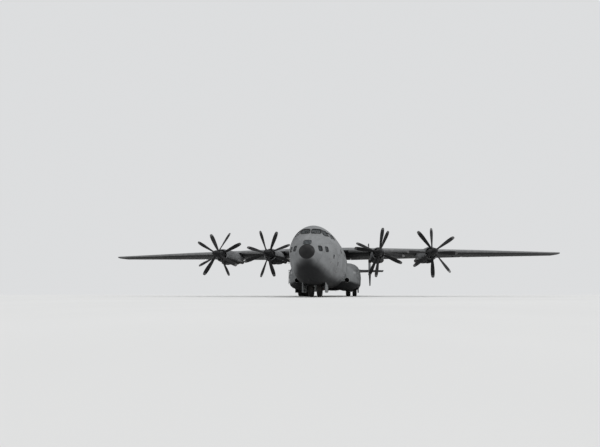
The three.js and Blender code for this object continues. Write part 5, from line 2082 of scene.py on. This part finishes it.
@dataclass
class Wings:
    """The wing with its lamps, static wicks, flap fairings and tabs."""

    finishes: Finishes

    # Stretches of the bare leading edge between the nacelles, along the span.
    bare_spans: ClassVar[Table] = ((3.15, 6.0), (8.1, 12.6), (14.6, 32.1))
    # The strip's section: share of the chord, and 1 above or -1 below.
    bare_form: ClassVar[Table] = ((0.03, 1), (0.012, 1), (0.003, 1), (0.0, 0), (0.003, -1), (0.012, -1),
                                  (0.03, -1))
    skin_shares: ClassVar[Values] = (0.0, 0.01, 0.04, 0.1, 0.2, 0.3, 0.45, 0.6, 0.7)
    filler_spans: ClassVar[Values] = (4.4, 9.4, 11.4, 16.2, 19.2, 23.0, 27.0)
    track_spans: ClassVar[Values] = (4.9, 8.7, 11.6, 15.0, 18.6)
    # A flap track's fairing: share of the chord, half width, depth.
    track_form: ClassVar[Table] = ((0.5, 0.02, 0.02), (0.55, 0.06, 0.1), (0.62, 0.09, 0.18),
                                   (0.68, 0.07, 0.14), (0.705, 0.03, 0.05))
    # The tip lamp's outline: aft and up from its middle.
    lamp_form: ClassVar[Table] = ((-0.32, 0.0), (-0.18, 0.075), (0.1, 0.085), (0.36, 0.0), (0.1, -0.085),
                                  (-0.18, -0.075))

    def build(self) -> None:
        """Builds what the wing carries."""
        covers, caps = self._covers()
        for name, side in SIDES:
            edge = self._bare_edge().on_side(side).build(f"leading_edge_{name}", self.finishes.edge_metal)
            thick = edge.modifiers.new("thick", "SOLIDIFY")
            thick.thickness, thick.offset = 0.004, 0.0
            tracks, lamp, tab = (make().on_side(side) for make in (self._tracks, self._tip, self._tab))
            tracks.build(f"flap_track_fairings_{name}", self.finishes.wing)
            rods = wicks(WING, (21.4 + 1.2 * i for i in range(8)), vec(0, 0.3, -0.02)).on_side(side)
            rods.build(f"aileron_wicks_{name}", self.finishes.seal, body=f"aileron_{name}")
            colour = self.finishes.red if side > 0 else self.finishes.green
            lamp.build(f"tip_lamp_{name}", colour, crease=60)
            tab.build(f"aileron_tab_{name}", self.finishes.seal, body=f"aileron_{name}")
            covers.on_side(side).build(f"tank_covers_{name}", self.finishes.seal)
            caps.on_side(side).build(f"filler_caps_{name}", self.finishes.wing)

    def _bare_edge(self) -> Shape:
        """Makes the bare strip along the leading edge.

        Returns:
            The left wing's strip.
        """
        shape = Shape()
        for start, end in self.bare_spans:
            rings = []
            for t in between(0, 1, 11):
                x = start + (end - start) * t
                rings.append([WING.point(x, share, level, 0.006) for share, level in self.bare_form])
            shape.loft(rings, closed=False, caps=False)
        return shape

    def _covers(self) -> tuple[Shape, Shape]:
        """Makes the tanks' oval covers under the wing and the filler caps above it.

        Returns:
            The left wing's covers and its caps.
        """
        form = Shape().loft([WING.ring(3.2 + 0.97 * i, self.skin_shares) for i in range(30)])
        skin = Skin(form.vertices, form.faces)
        covers, caps = Shape(), Shape()
        for x in (4.3 + 1.38 * i for i in range(19)):
            if min(abs(x - engine) for engine in ENGINES.values()) < 1.2:
                continue
            for share in (0.24, 0.5):
                spot = Spot(WING.point(x, share, -1) - UP, UP, AFT)
                covers.rim(skin, spot, 0.46, 0.3, 0.022, square=2.0, lift=0.006, count=28)
        for x in self.filler_spans:
            middle = WING.point(x, 0.36, 1)
            for aft, width, height, lift in ((0, 0.2, 0.2, 0.012), (0.5, 0.34, 0.24, 0.008)):
                spot = Spot(middle + vec(0, aft, 1), -UP, AFT)
                caps.plate(skin, spot, width, height, rounded=1.0, lift=lift, grid=6)
        return covers, caps

    def _tracks(self) -> Shape:
        """Makes the slim fairings over the flap tracks under the wing.

        Returns:
            The left wing's fairings.
        """
        shape = Shape()
        for x in self.track_spans:
            rings = []
            for share, half, deep in self.track_form:
                top = WING.point(x, share, -1)
                rings.append([top + vec(half * math.sin(a), 0, -deep * (1 - math.cos(a)) / 2 + 0.03)
                              for a in turns(12)])
            shape.loft(rings)
        return shape

    def _tip(self) -> Shape:
        """Makes the navigation lamp at the wing tip.

        Returns:
            The left wing's lamp.
        """
        middle = WING.point(32.2, 0.2)
        return Shape().loft([[middle + vec(out - 0.05, a * grow, b * grow) for a, b in self.lamp_form]
                             for out, grow in ((0.0, 1.0), (0.06, 1.0), (0.1, 0.8), (0.12, 0.4))])

    def _tab(self, span: float = 24.1, horn: float = 0.78, lug: float = 0.92) -> Shape:
        """Outlines the trim tab on the aileron, with its push rod.

        Args:
            span: Where the rod is along the span.
            horn: Where its front end is, as a share of the chord.
            lug: Where its rear end is.

        Returns:
            The left aileron's tab.
        """
        shape = tab_lines(WING, 22.6, 25.6, 0.995)
        for share, lift, far_share, far_lift, radius in (
            (horn, 0.05, lug, 0.07, 0.018), (horn, -0.02, horn, 0.06, 0.02), (lug, -0.02, lug, 0.08, 0.02),
        ):
            shape.bar(WING.point(span, share, -1, lift), WING.point(span, far_share, -1, far_lift), radius, 8)
        return shape


@dataclass
class Engine:
    """One nacelle with its exhausts and its two propellers."""

    finishes: Finishes
    key: str
    x: float
    hub: float = 5.35
    front: float = 14.05
    rear: float = 14.95
    mouth: float = 15.5
    pipe_start: float = 19.5
    pipe_z: float = 4.98

    # Where the first blade of the front and the rear propeller stands, in degrees.
    angles: ClassVar[dict[str, tuple[float, float]]] = {
        "outer_right": (60, 28), "inner_right": (20, 72), "inner_left": (80, 65), "outer_left": (35, 88),
    }
    # The round lip: station and radius.
    lip: ClassVar[Table] = ((15.9, 0.62), (15.7, 0.64), (15.55, 0.66), (15.48, 0.69), (15.47, 0.73))
    # Turned outlines: radius and distance along the axis.
    duct: ClassVar[Table] = ((0.0, 0.9), (0.6, 0.9), (0.63, 0.0))
    gearbox: ClassVar[Table] = ((0.0, -0.04), (0.3, -0.04), (0.33, 0.0), (0.42, 0.5), (0.42, 0.95))
    pipe_form: ClassVar[Table] = ((0.0, -0.1), (0.12, -0.06), (0.22, 0.1), (0.27, 0.4), (0.275, 1.3),
                                  (0.265, 1.9))
    pipe_end: ClassVar[Table] = ((0.265, 1.9), (0.27, 2.1), (0.245, 2.1), (0.24, 1.85), (0.23, 1.5),
                                 (0.0, 1.5))
    front_spinner: ClassVar[Table] = (
        (0.0, 12.85), (0.11, 12.9), (0.19, 13.0), (0.26, 13.15), (0.335, 13.35), (0.395, 13.6),
        (0.435, 13.85), (0.455, 14.15), (0.462, 14.48), (0.15, 14.48), (0.15, 14.499),
    )
    rear_spinner: ClassVar[Table] = (
        (0.0, 14.5), (0.47, 14.5), (0.495, 14.7), (0.52, 15.0), (0.535, 15.25), (0.54, 15.4), (0.2, 15.4),
        (0.2, 15.46),
    )
    # The oil cooler's scoop: station, half width, depth.
    scoop: ClassVar[Table] = ((16.35, 0.27, 0.16), (16.4, 0.3, 0.19), (17.0, 0.33, 0.22), (17.9, 0.3, 0.16),
                              (18.7, 0.2, 0.04), (18.9, 0.12, 0.0))
    # A blade's sections: radius, and how much of the chord is left there.
    blade_form: ClassVar[Table] = (
        (0.3, 1.0), (0.45, 1.0), (0.6, 1.0), (0.8, 1.0), (1.0, 1.0), (1.3, 1.0), (1.6, 1.0), (1.95, 1.0),
        (2.3, 1.0), (2.55, 1.0), (2.8, 1.0), (2.95, 1.0), (3.05, 0.9), (3.09, 0.7), (3.1, 0.45),
    )
    dark_blade_sections: int = 11

    def build(self) -> None:
        """Builds the engine."""
        self._cowling()
        self._exhausts()
        first, second = self.angles[self.key]
        self._propeller(f"propeller_front_{self.key}", self.front_spinner, self.front, first, 1)
        self._propeller(f"propeller_rear_{self.key}", self.rear_spinner, self.rear, second, -1)

    def _ring(self, s: float) -> Ring:
        """Makes the cowling's outline at a station."""
        half, keel, top = (curve_value(NACELLE_ROWS, s, column) for column in (1, 2, 3))
        return oval(s, self.x, half, keel, top, (keel + top) / 2, 2.15, 56)

    def _cowling(self) -> None:
        """Builds the cowling, its lip and the hollow mouth, whose duct and back wall are near-black as
        painted shade.
        """
        stations = [self.mouth + 0.15 * i for i in range(8)] + [16.8 + 0.4 * i for i in range(17)]
        stations += [23.5, 23.8, 24.0, 24.1]
        rings = [[vec(self.x + r * math.sin(a), s, self.hub + r * math.cos(a)) for a in turns(56)]
                 for s, r in self.lip]
        rings += [self._ring(s) for s in stations]
        shape = Shape().loft(rings, caps=False)
        shape.add(rings[-1], [tuple(range(56))])
        middle = vec(self.x, self.mouth, self.hub)
        # The mouth's duct and the wall that closes it take the near-black seal finish: painted shade inside
        # the intake.
        shape.brush = 1
        shape.lathe(self.duct, middle, AFT, 40)
        shape.brush = 2
        shape.lathe(self.gearbox, middle, AFT, 32)
        for i in range(6):
            angle = math.pi / 3 * i + 0.3
            out = vec(math.sin(angle), 0, math.cos(angle))
            foot = vec(self.x, self.lip[0][0], self.hub)
            shape.bar(foot + out * 0.38, foot + out * 0.62, 0.035, 8)
        finish = self.finishes
        shape.build(f"cowling_{self.key}", finish.nacelle, finish.seal, finish.steel,
                    stands_for=f"nacelle_{self.key}")
        skin = Skin(shape.vertices, shape.faces)
        self._oil_scoop(skin)
        self._catches(skin)

    def _oil_scoop(self, skin: Skin) -> None:
        """Adds the oil cooler's scoop under the cowling, its mouth lined and closed in near-black as painted
        shade.

        Args:
            skin: The cowling's surface.
        """
        rings = []
        for s, half, deep in self.scoop:
            root = skin.meet(vec(self.x, s, 2), UP)
            rings.append([root + vec(half * math.sin(a), 0, 0.08 - (deep + 0.08) * (1 - math.cos(a)) / 2)
                          for a in turns(24)])
        shape = Shape().loft(rings[1:], caps=False)
        # The mouth's lining and the disc behind it take the near-black seal finish: painted shade inside the
        # scoop.
        shape.brush = 1
        shape.loft(rings[:2], caps=False)
        shape.add([p + vec(0, 0.15, 0) for p in rings[0]], [tuple(range(24))])
        shape.build(f"oil_scoop_{self.key}", self.finishes.nacelle, self.finishes.seal)

    def _catches(self, skin: Skin) -> None:
        """Adds the cowling's seams and catches.

        Args:
            skin: The cowling's surface.
        """
        seams = Shape()
        for _, side in SIDES:
            for s, width in ((17.2, 1.5), (19.1, 1.3)):
                spot = Spot(vec(self.x + side * 3, s, 5.4), vec(-side, 0, 0))
                seams.rim(skin, spot, width, 0.8, 0.015, square=8.0, lift=0.006)
            for s in (16.6, 17.3, 18.0, 18.8):
                root = skin.meet(vec(self.x + side * 3, s, 4.85), vec(-side, 0, 0))
                seams.bar(root + vec(-side * 0.03, 0, 0), root + vec(side * 0.015, 0, 0), 0.04, 8)
        seams.build(f"cowling_catches_{self.key}", self.finishes.seal)

    def _exhausts(self) -> None:
        """Builds the exhaust pipes on both sides of the nacelle."""
        shape = Shape()
        for out in (-1, 1):
            start = vec(self.x + out * PIPE_X, self.pipe_start, self.pipe_z)
            shape.brush = 0
            shape.lathe(self.pipe_form, start, AFT, 28)
            shape.brush = 1
            shape.lathe(self.pipe_end, start, AFT, 28)
            for s in (0.55, 1.25):
                clip = ((0.27, s - 0.03), (0.292, s - 0.02), (0.292, s + 0.02), (0.27, s + 0.03))
                shape.lathe(clip, start, AFT, 28)
        shape.build(f"exhausts_{self.key}", self.finishes.nacelle, self.finishes.burnt, slot=Slot.STEEL)

    def _blade(self, shape: Shape, centre: Vector, turn: Matrix, hand: int) -> None:
        """Adds one blade to a propeller.

        Args:
            shape: The propeller.
            centre: The propeller's middle.
            turn: The turn to where the blade stands.
            hand: 1 or -1 for the way that it turns.
        """
        rings = []
        for radius, left in self.blade_form:
            at = max(radius, BLADE_ROWS[0][0])
            chord, thick, pitch = (curve_value(BLADE_ROWS, at, column) for column in (1, 2, 3))
            tilt, belly = math.radians(pitch), 0.25 if radius > 0.7 else 0.0
            ring = []
            for a in turns(16):
                along = 0.5 * math.cos(a) * (chord * left)
                out = 0.5 * math.sin(a) * thick * (1.0 + belly * math.cos(a))
                across = hand * (along * math.cos(tilt) - out * math.sin(tilt))
                upwards = along * math.sin(tilt) + out * math.cos(tilt)
                ring.append(turn @ vec(radius, upwards, across) + centre)
            rings.append(ring)
        shape.brush = 0
        shape.loft(rings[:self.dark_blade_sections], caps=False)
        shape.brush = 1
        shape.loft(rings[self.dark_blade_sections - 1:])

    def _propeller(self, node: str, spinner: Table, station: float, angle: float, hand: int) -> None:
        """Builds one propeller with its half of the spinner.

        Args:
            node: The solid that it stands for, which is also its body.
            spinner: The outline of its half of the spinner, by station.
            station: Its own station.
            angle: Where its first blade stands, in degrees.
            hand: 1 or -1 for the way that it turns.
        """
        shape, centre = Shape(), vec(self.x, station, self.hub)
        places = [Matrix.Rotation(-math.radians(angle + 90 * i), 3, "Y") for i in range(4)]
        for turn in places:
            self._blade(shape, centre, turn, hand)
        shape.brush = 0
        shape.lathe(spinner, vec(self.x, 0, self.hub), AFT, 48)
        for turn in places:
            shape.bar(centre + turn @ OUT * 0.38, centre + turn @ OUT * 0.52, 0.17, 20, 0.14)
        shape.build(f"{node}_dressed", self.finishes.blade, self.finishes.blade_edge, body=node,
                    stands_for=node)


@dataclass
class Tail:
    """The tailplane and fins with their tips, tabs and wicks."""

    finishes: Finishes
    fin_x: float = 7.72
    fillet_reach: float = 0.14

    tip_spans: ClassVar[Table] = ((12.2, 12.52), (2.32, 2.62))
    tip_shares: ClassVar[Values] = (0.0, 0.01, 0.05, 0.15, 0.35, 0.6, 0.85, 1.0)

    def build(self) -> None:
        """Builds what the tail carries."""
        fin_tips, fillets = Shape(), self._fillets()
        for low, high in self.tip_spans:
            fin_tips.loft([FIN.ring(z, self.tip_shares, 0.006) for z in between(low, high, 6)])
        rudder_wicks = wicks(FIN, (7.4, 8.6, 9.8, 11.0), vec(0, 0.28, 0))
        elevator_wicks = wicks(TAILPLANE, (3.4, 4.6, 5.8, 6.8), vec(0, 0.28, -0.02))
        tab = tab_lines(TAILPLANE, 3.2, 5.4, 0.99)
        dark = self.finishes.seal
        for name, side in SIDES:
            elevator = f"elevator_{name}"
            fin_tips.on_side(side).build(f"fin_tips_{name}", self.finishes.radome, crease=50)
            rudder_wicks.on_side(side).build(f"rudder_wicks_{name}", dark, body=f"rudder_upper_{name}")
            elevator_wicks.on_side(side).build(f"elevator_wicks_{name}", dark, body=elevator)
            tab.on_side(side).build(f"elevator_tab_{name}", dark, body=elevator)
            fillets.on_side(side).build(f"fin_fillets_{name}", self.finishes.fin)

    def _fillets(self, steps: int = 18) -> Shape:
        """Makes the four fillets where the left fin crosses the tailplane.

        Args:
            steps: Number of steps along each.

        Returns:
            The fillets.
        """
        shape = Shape()
        height = TAILPLANE.rows[0].z
        fin, flat = FIN.row(height), TAILPLANE.row(self.fin_x)
        for out in (1, -1):
            for level in (1, -1):
                rings = []
                for k, s in enumerate(between(flat.le + 0.03, flat.le + flat.chord - 0.03, steps + 1)):
                    share, deep = (s - flat.le) / flat.chord, (s - fin.le) / fin.chord
                    reach = self.fillet_reach * min(1.0, k / 2 + 0.2, (steps - k) / 2 + 0.2)
                    beside = FIN.point(height, deep, out)
                    over = TAILPLANE.point(beside.x, share, level)
                    foot = TAILPLANE.point(beside.x + out * reach, share, level, 0.004)
                    rise = FIN.point(over.z + level * reach, deep, out, 0.004)
                    corner = vec(beside.x - out * 0.02, s, over.z - level * 0.02)
                    inner = ((foot + rise) / 2).lerp(corner, 0.3)
                    rings.append([vec(p.x, s, p.z) for p in (corner, foot, inner, rise)])
                shape.loft(rings)
        return shape


@dataclass
class WheelPair:
    """Two wheels on one axle, which stand on the ground."""

    finishes: Finishes
    key: str
    body: str
    node: str
    x: float
    station: float
    radius: float
    width: float
    spread: float
    bolts: int = 10

    # A tyre's side up to its tread: share of the radius and of the half width.
    tyre_side: ClassVar[Table] = ((0.56, 0.74), (0.6, 0.92), (0.7, 1.0), (0.82, 0.99), (0.9, 0.9),
                                  (0.955, 0.72), (0.985, 0.56))
    groove_middles: ClassVar[Values] = (-0.36, -0.12, 0.12, 0.36)
    # A groove: share of the radius, and of the half width from its middle.
    groove: ClassVar[Table] = ((0.998, -0.07), (0.975, -0.05), (0.975, 0.05), (0.998, 0.07))
    hub_face: ClassVar[Table] = (
        (0.0, 0.62), (0.1, 0.62), (0.13, 0.56), (0.15, 0.42), (0.3, 0.36), (0.4, 0.44), (0.45, 0.7),
        (0.52, 0.84), (0.58, 0.86), (0.585, 0.8), (0.56, 0.6),
    )

    def build(self) -> None:
        """Builds the tyres, and the hubs with their axle."""
        radius, half = self.radius, self.width / 2
        centre = vec(self.x, self.station, radius)
        outline = [(a, -b) for a, b in self.tyre_side]
        outline += [(a, middle + b) for middle in self.groove_middles for a, b in self.groove]
        outline += self.tyre_side[::-1]
        tyres, hubs = Shape(), Shape()
        for way in (-1, 1):
            middle = centre + OUT * self.spread * way
            tyres.lathe([(a * radius, b * half) for a, b in outline], middle, OUT, 64, True)
            for face, sign in ((self.hub_face, way), (self.hub_face[2:], -way)):
                hubs.lathe([(a * radius, sign * b * half) for a, b in face], middle, OUT, 48)
            for angle in turns(self.bolts):
                out = vec(0, math.cos(angle), math.sin(angle))
                foot = middle + out * 0.215 * radius + OUT * way * 0.36 * half
                hubs.bar(foot, foot + OUT * way * 0.1 * half, 0.022, 6)
                # Near-black discs on the hub face paint shade where its holes would be; the hub is not
                # pierced.
                painted_hole = middle + out * 0.34 * radius + OUT * way * 0.38 * half
                hubs.brush = 1
                hubs.bar(painted_hole, painted_hole + OUT * way * 0.02 * half, 0.035, 10)
                hubs.brush = 0
        hubs.brush = 2
        hubs.bar(centre - OUT * self.spread, centre + OUT * self.spread, 0.09, 20)
        finish = self.finishes
        tyres.build(f"tyres_{self.key}", finish.rubber, body=self.body, crease=40, stands_for=self.node)
        hubs.build(f"hubs_{self.key}", finish.hub, finish.seal, finish.steel, body=self.body)


@dataclass
class MainGear:
    """One side's main wheels, legs, well and doors, with the doors of the nose gear on that side."""

    finishes: Finishes
    name: str
    side: int
    across: float = 3.46
    stations: Values = (21.85, 24.35, 26.85)
    radius: float = 0.8582
    well_outer: float = 4.4
    well_inner: float = 2.52
    well_top: float = 2.75

    # Pipes along the well: side distance, height, radius.
    well_pipes: ClassVar[Table] = ((4.3, 2.62, 0.022), (4.24, 2.64, 0.016), (2.66, 2.6, 0.022),
                                   (2.74, 2.62, 0.03))
    # Turned outlines: radius and distance along the axis.
    collar: ClassVar[Table] = ((0.125, -0.05), (0.16, -0.045), (0.16, 0.045), (0.125, 0.05))
    rod_eye: ClassVar[Table] = ((0.03, -0.03), (0.06, -0.03), (0.06, 0.03), (0.03, 0.03))

    def build(self) -> None:
        """Builds the wheels and dresses the legs, the well and the doors."""
        for i, s in enumerate(self.stations, 1):
            key = f"{self.name}_{i}"
            WheelPair(self.finishes, f"main_{key}", f"main_wheel_pair_{key}", f"main_wheels_{key}",
                      self.side * self.across, s, self.radius, 0.62, 0.47).build()
        self._legs()
        self._well()
        self._doors()

    def _legs(self) -> None:
        """Adds collars, brake pipes and door rods to the main legs."""
        collars, pipes, rods = Shape(), Shape(), Shape()
        x = self.side * self.across
        for s in self.stations:
            knee = s - 0.62
            for z in (2.45, 1.75, 1.4):
                collars.lathe(self.collar, vec(x, knee, z), UP, 20)
            path = [vec(x + 0.15, knee + 0.02, 2.5), vec(x + 0.19, knee + 0.05, 1.9),
                    vec(x + 0.17, knee + 0.1, 1.35), vec(x + 0.1, s - 0.25, 1.1),
                    vec(x + 0.1, s - 0.12, 0.98)]
            pipes.hose(path, 0.014)
            rods.bar(vec(x + self.side * 0.15, knee, 1.75), vec(self.side * 4.46, knee - 0.1, 1.35), 0.03, 8)
            rods.lathe(self.rod_eye, vec(self.side * 4.44, knee - 0.1, 1.35), OUT, 12, True)
        collars.build(f"main_leg_collars_{self.name}", self.finishes.steel)
        pipes.build(f"main_leg_pipes_{self.name}", self.finishes.seal)
        rods.build(f"gear_door_rods_{self.name}", self.finishes.steel)

    def _well(self) -> None:
        """Adds frames and pipes to a main wheel well."""
        frames, pipes = Shape(), Shape()
        outer, inner, top = self.well_outer, self.well_inner, self.well_top
        for s in (20.75 + 0.72 * i for i in range(11)):
            frames.block(vec(outer - 0.07, s, 1.66), vec(outer + 0.005, s + 0.06, top))
            frames.block(vec(inner, s, top - 0.09), vec(outer, s + 0.06, top + 0.005))
        for x, z, radius in self.well_pipes:
            path = [vec(x, 20.52, z), vec(x, 22.4, z), vec(x - 0.03, 24.0, z - 0.02), vec(x, 26.2, z),
                    vec(x, 28.18, z)]
            pipes.hose(path, radius)
        frames.on_side(self.side).build(f"wheel_well_frames_{self.name}", self.finishes.dark)
        pipes.on_side(self.side).build(f"wheel_well_pipes_{self.name}", self.finishes.steel)

    def _doors(self) -> None:
        """Adds stiffeners to the gear doors' inner faces, and frames to the nose wheel well."""
        main, nose, frames = Shape(), Shape(), Shape()
        for i in range(3):
            start, end = 20.55 + 2.55 * i + 0.08, 20.5 + 2.55 * (i + 1) - 0.08
            for s in between(start, end - 0.05, 6):
                main.block(vec(4.425, s, 0.56), vec(4.465, s + 0.05, 1.18))
            for z in (0.56, 0.86, 1.12):
                main.block(vec(4.43, start, z), vec(4.465, end, z + 0.05))
        for s in (5.45 + 0.48 * k for k in range(6)):
            nose.block(vec(1.052, s, 0.48), vec(1.085, s + 0.05, 1.12))
            frames.block(vec(1.06, s, 1.66), vec(1.105, s + 0.06, 2.5))
        for z in (0.48, 0.78, 1.08):
            nose.block(vec(1.056, 5.42, z), vec(1.085, 7.93, z + 0.04))
        main.on_side(self.side).build(f"gear_door_ribs_{self.name}", self.finishes.enamel)
        nose.on_side(self.side).build(f"nose_door_ribs_{self.name}", self.finishes.enamel)
        frames.on_side(self.side).build(f"nose_well_frames_{self.name}", self.finishes.dark)


@dataclass
class NoseGear:
    """The nose wheels and what their leg carries."""

    finishes: Finishes
    radius: float = 0.7111
    station: float = 6.78
    steer_station: float = 6.6

    # Turned outlines: radius and distance along the axis.
    collar: ClassVar[Table] = ((0.145, -0.045), (0.18, -0.04), (0.18, 0.04), (0.145, 0.045))
    lamp_bowl: ClassVar[Table] = ((0.0, -0.12), (0.06, -0.11), (0.11, -0.02), (0.12, 0.02))
    lamp_glass: ClassVar[Table] = ((0.0, -0.01), (0.11, -0.02))

    def build(self) -> None:
        """Builds the wheels and dresses the leg."""
        WheelPair(self.finishes, "nose", "nose_wheel_pair", "nose_wheels", 0.0, self.station, self.radius,
                  0.5, 0.42).build()
        self._leg()
        self._taxi_lamp()

    def _leg(self) -> None:
        """Adds the nose leg's collars and links."""
        shape, s = Shape(), self.steer_station
        for z in (1.85, 1.5, 1.15):
            shape.lathe(self.collar, vec(0, s, z), UP, 24)
        for x in (-0.06, 0.06):
            shape.bar(vec(x, s - 0.16, 1.45), vec(x, s - 0.36, 1.15), 0.02, 8)
            shape.bar(vec(x, s - 0.36, 1.15), vec(x, s - 0.14, 0.85), 0.02, 8)
        shape.build("nose_leg_collars", self.finishes.enamel, body="steered_leg")

    def _taxi_lamp(self) -> None:
        """Adds the taxi lamp to the nose leg."""
        s, z = self.steer_station, 1.68
        lamp = Shape().lathe(self.lamp_bowl, vec(0, s - 0.28, z), AFT, 24)
        lamp.brush = 1
        lamp.lathe(self.lamp_glass, vec(0, s - 0.29, z), -AFT, 24)
        lamp.bar(vec(0, s - 0.2, z), vec(0, s - 0.1, z), 0.03, 8)
        lamp.build("taxi_lamp", self.finishes.enamel, self.finishes.lamp, body="steered_leg")


@dataclass
class Studio:
    """The floor, lights and camera, in the model's own metres."""

    distance: float = 13.0
    azimuth: float = 4.7
    height: float = 0.12
    lens: float = 19.3
    sensor: float = 36.0
    aim: float = 5.2
    shift: float = -0.044
    pivot: float = 10.0

    # Soft lights: name, where each shines, its spread in degrees and its strength.
    lamps: ClassVar[tuple[tuple[str, Colour, float, float], ...]] = (
        ("top_light", (-0.25, 0.15, -1.0), 60.0, 0.85),
        ("side_light", (-1.0, 0.35, -0.45), 35.0, 0.9),
        ("fill_light", (1.0, 0.5, -0.4), 50.0, 0.35),
    )

    def build(self) -> None:
        """Builds the studio round the aircraft."""
        self._floor()
        self._lights()
        self._camera()

    def _floor(self) -> None:
        """Makes the pale floor."""
        shape = Shape().lathe([(0.0, 0.0), (1400.0, 0.0)], vec(0, LENGTH / 2, -0.002), UP, 64)
        floor = stand("studio_floor", shape.mesh("studio_floor"))
        material, g, shader = start_material("floor_paper", 0.85, specular=0.0)
        tone = g.step(g.noise(g.place(), 0.4, 3.0), 0.3, 0.7)
        g.feed(shader["Base Color"], g.mix(tone, rgba((0.65, 0.65, 0.645)), rgba((0.67, 0.67, 0.665))))
        floor.data.materials.append(material)

    def _lights(self) -> None:
        """Sets a pale sky and soft lights above."""
        world = bpy.data.worlds.new("studio_sky")
        bpy.context.scene.world = world
        world.use_nodes = True
        sky = world.node_tree.nodes["Background"].inputs
        sky["Color"].default_value = rgba((0.9, 0.91, 0.92))
        sky["Strength"].default_value = 0.8
        bpy.context.scene.view_settings.view_transform = "Standard"
        for name, toward, spread, power in self.lamps:
            lamp = bpy.data.lights.new(name, "SUN")
            lamp.energy, lamp.angle = power, math.radians(spread)
            stand(name, lamp).rotation_euler = Vector(toward).to_track_quat("-Z", "Y").to_euler()

    def _camera(self) -> None:
        """Sets the camera at floor level ahead of the nose, turned as the photograph was."""
        data = bpy.data.cameras.new("camera")
        data.lens, data.sensor_width, data.shift_x = self.lens, self.sensor, self.shift
        camera = stand("camera", data)
        turn = math.radians(self.azimuth)
        centre = Vector((0.0, -LENGTH / 2 * SCALE + self.pivot, 0.0))
        reach = self.distance + self.pivot
        camera.location = centre + Vector((math.sin(turn) * reach, -math.cos(turn) * reach, self.height))
        aim = centre + Vector((0.0, 0.0, self.aim))
        camera.rotation_euler = (aim - camera.location).to_track_quat("-Z", "Y").to_euler()
        bpy.context.scene.camera = camera


class Part(Protocol):
    """Something that builds its own pieces."""

    def build(self) -> None:
        """Builds them."""


def main() -> None:
    """Builds the scene in order."""
    logging.basicConfig(level=logging.INFO, format="%(message)s")
    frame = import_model()
    finishes = Finishes(Effects())
    nodes = frame["nodes"]
    for name, node in nodes.items():
        repaint(node, finishes.of_node(name))
    parts: list[Part] = [Hull(finishes), CrewSeats(finishes), Hatch(finishes)]
    for name, side in SIDES:
        parts.append(Fairing(finishes, name, side, Skin.of_node(nodes[f"wheel_fairing_{name}"])))
    parts.append(Wings(finishes))
    for row, distance in ENGINES.items():
        parts += [Engine(finishes, f"{row}_{name}", side * distance) for name, side in SIDES]
    parts += [Tail(finishes), *(MainGear(finishes, name, side) for name, side in SIDES)]
    parts += [NoseGear(finishes), Studio()]
    for part in parts:
        LOG.info("building %s", type(part).__name__)
        part.build()
    bpy.context.view_layer.update()


if __name__ == "__main__":
    main()
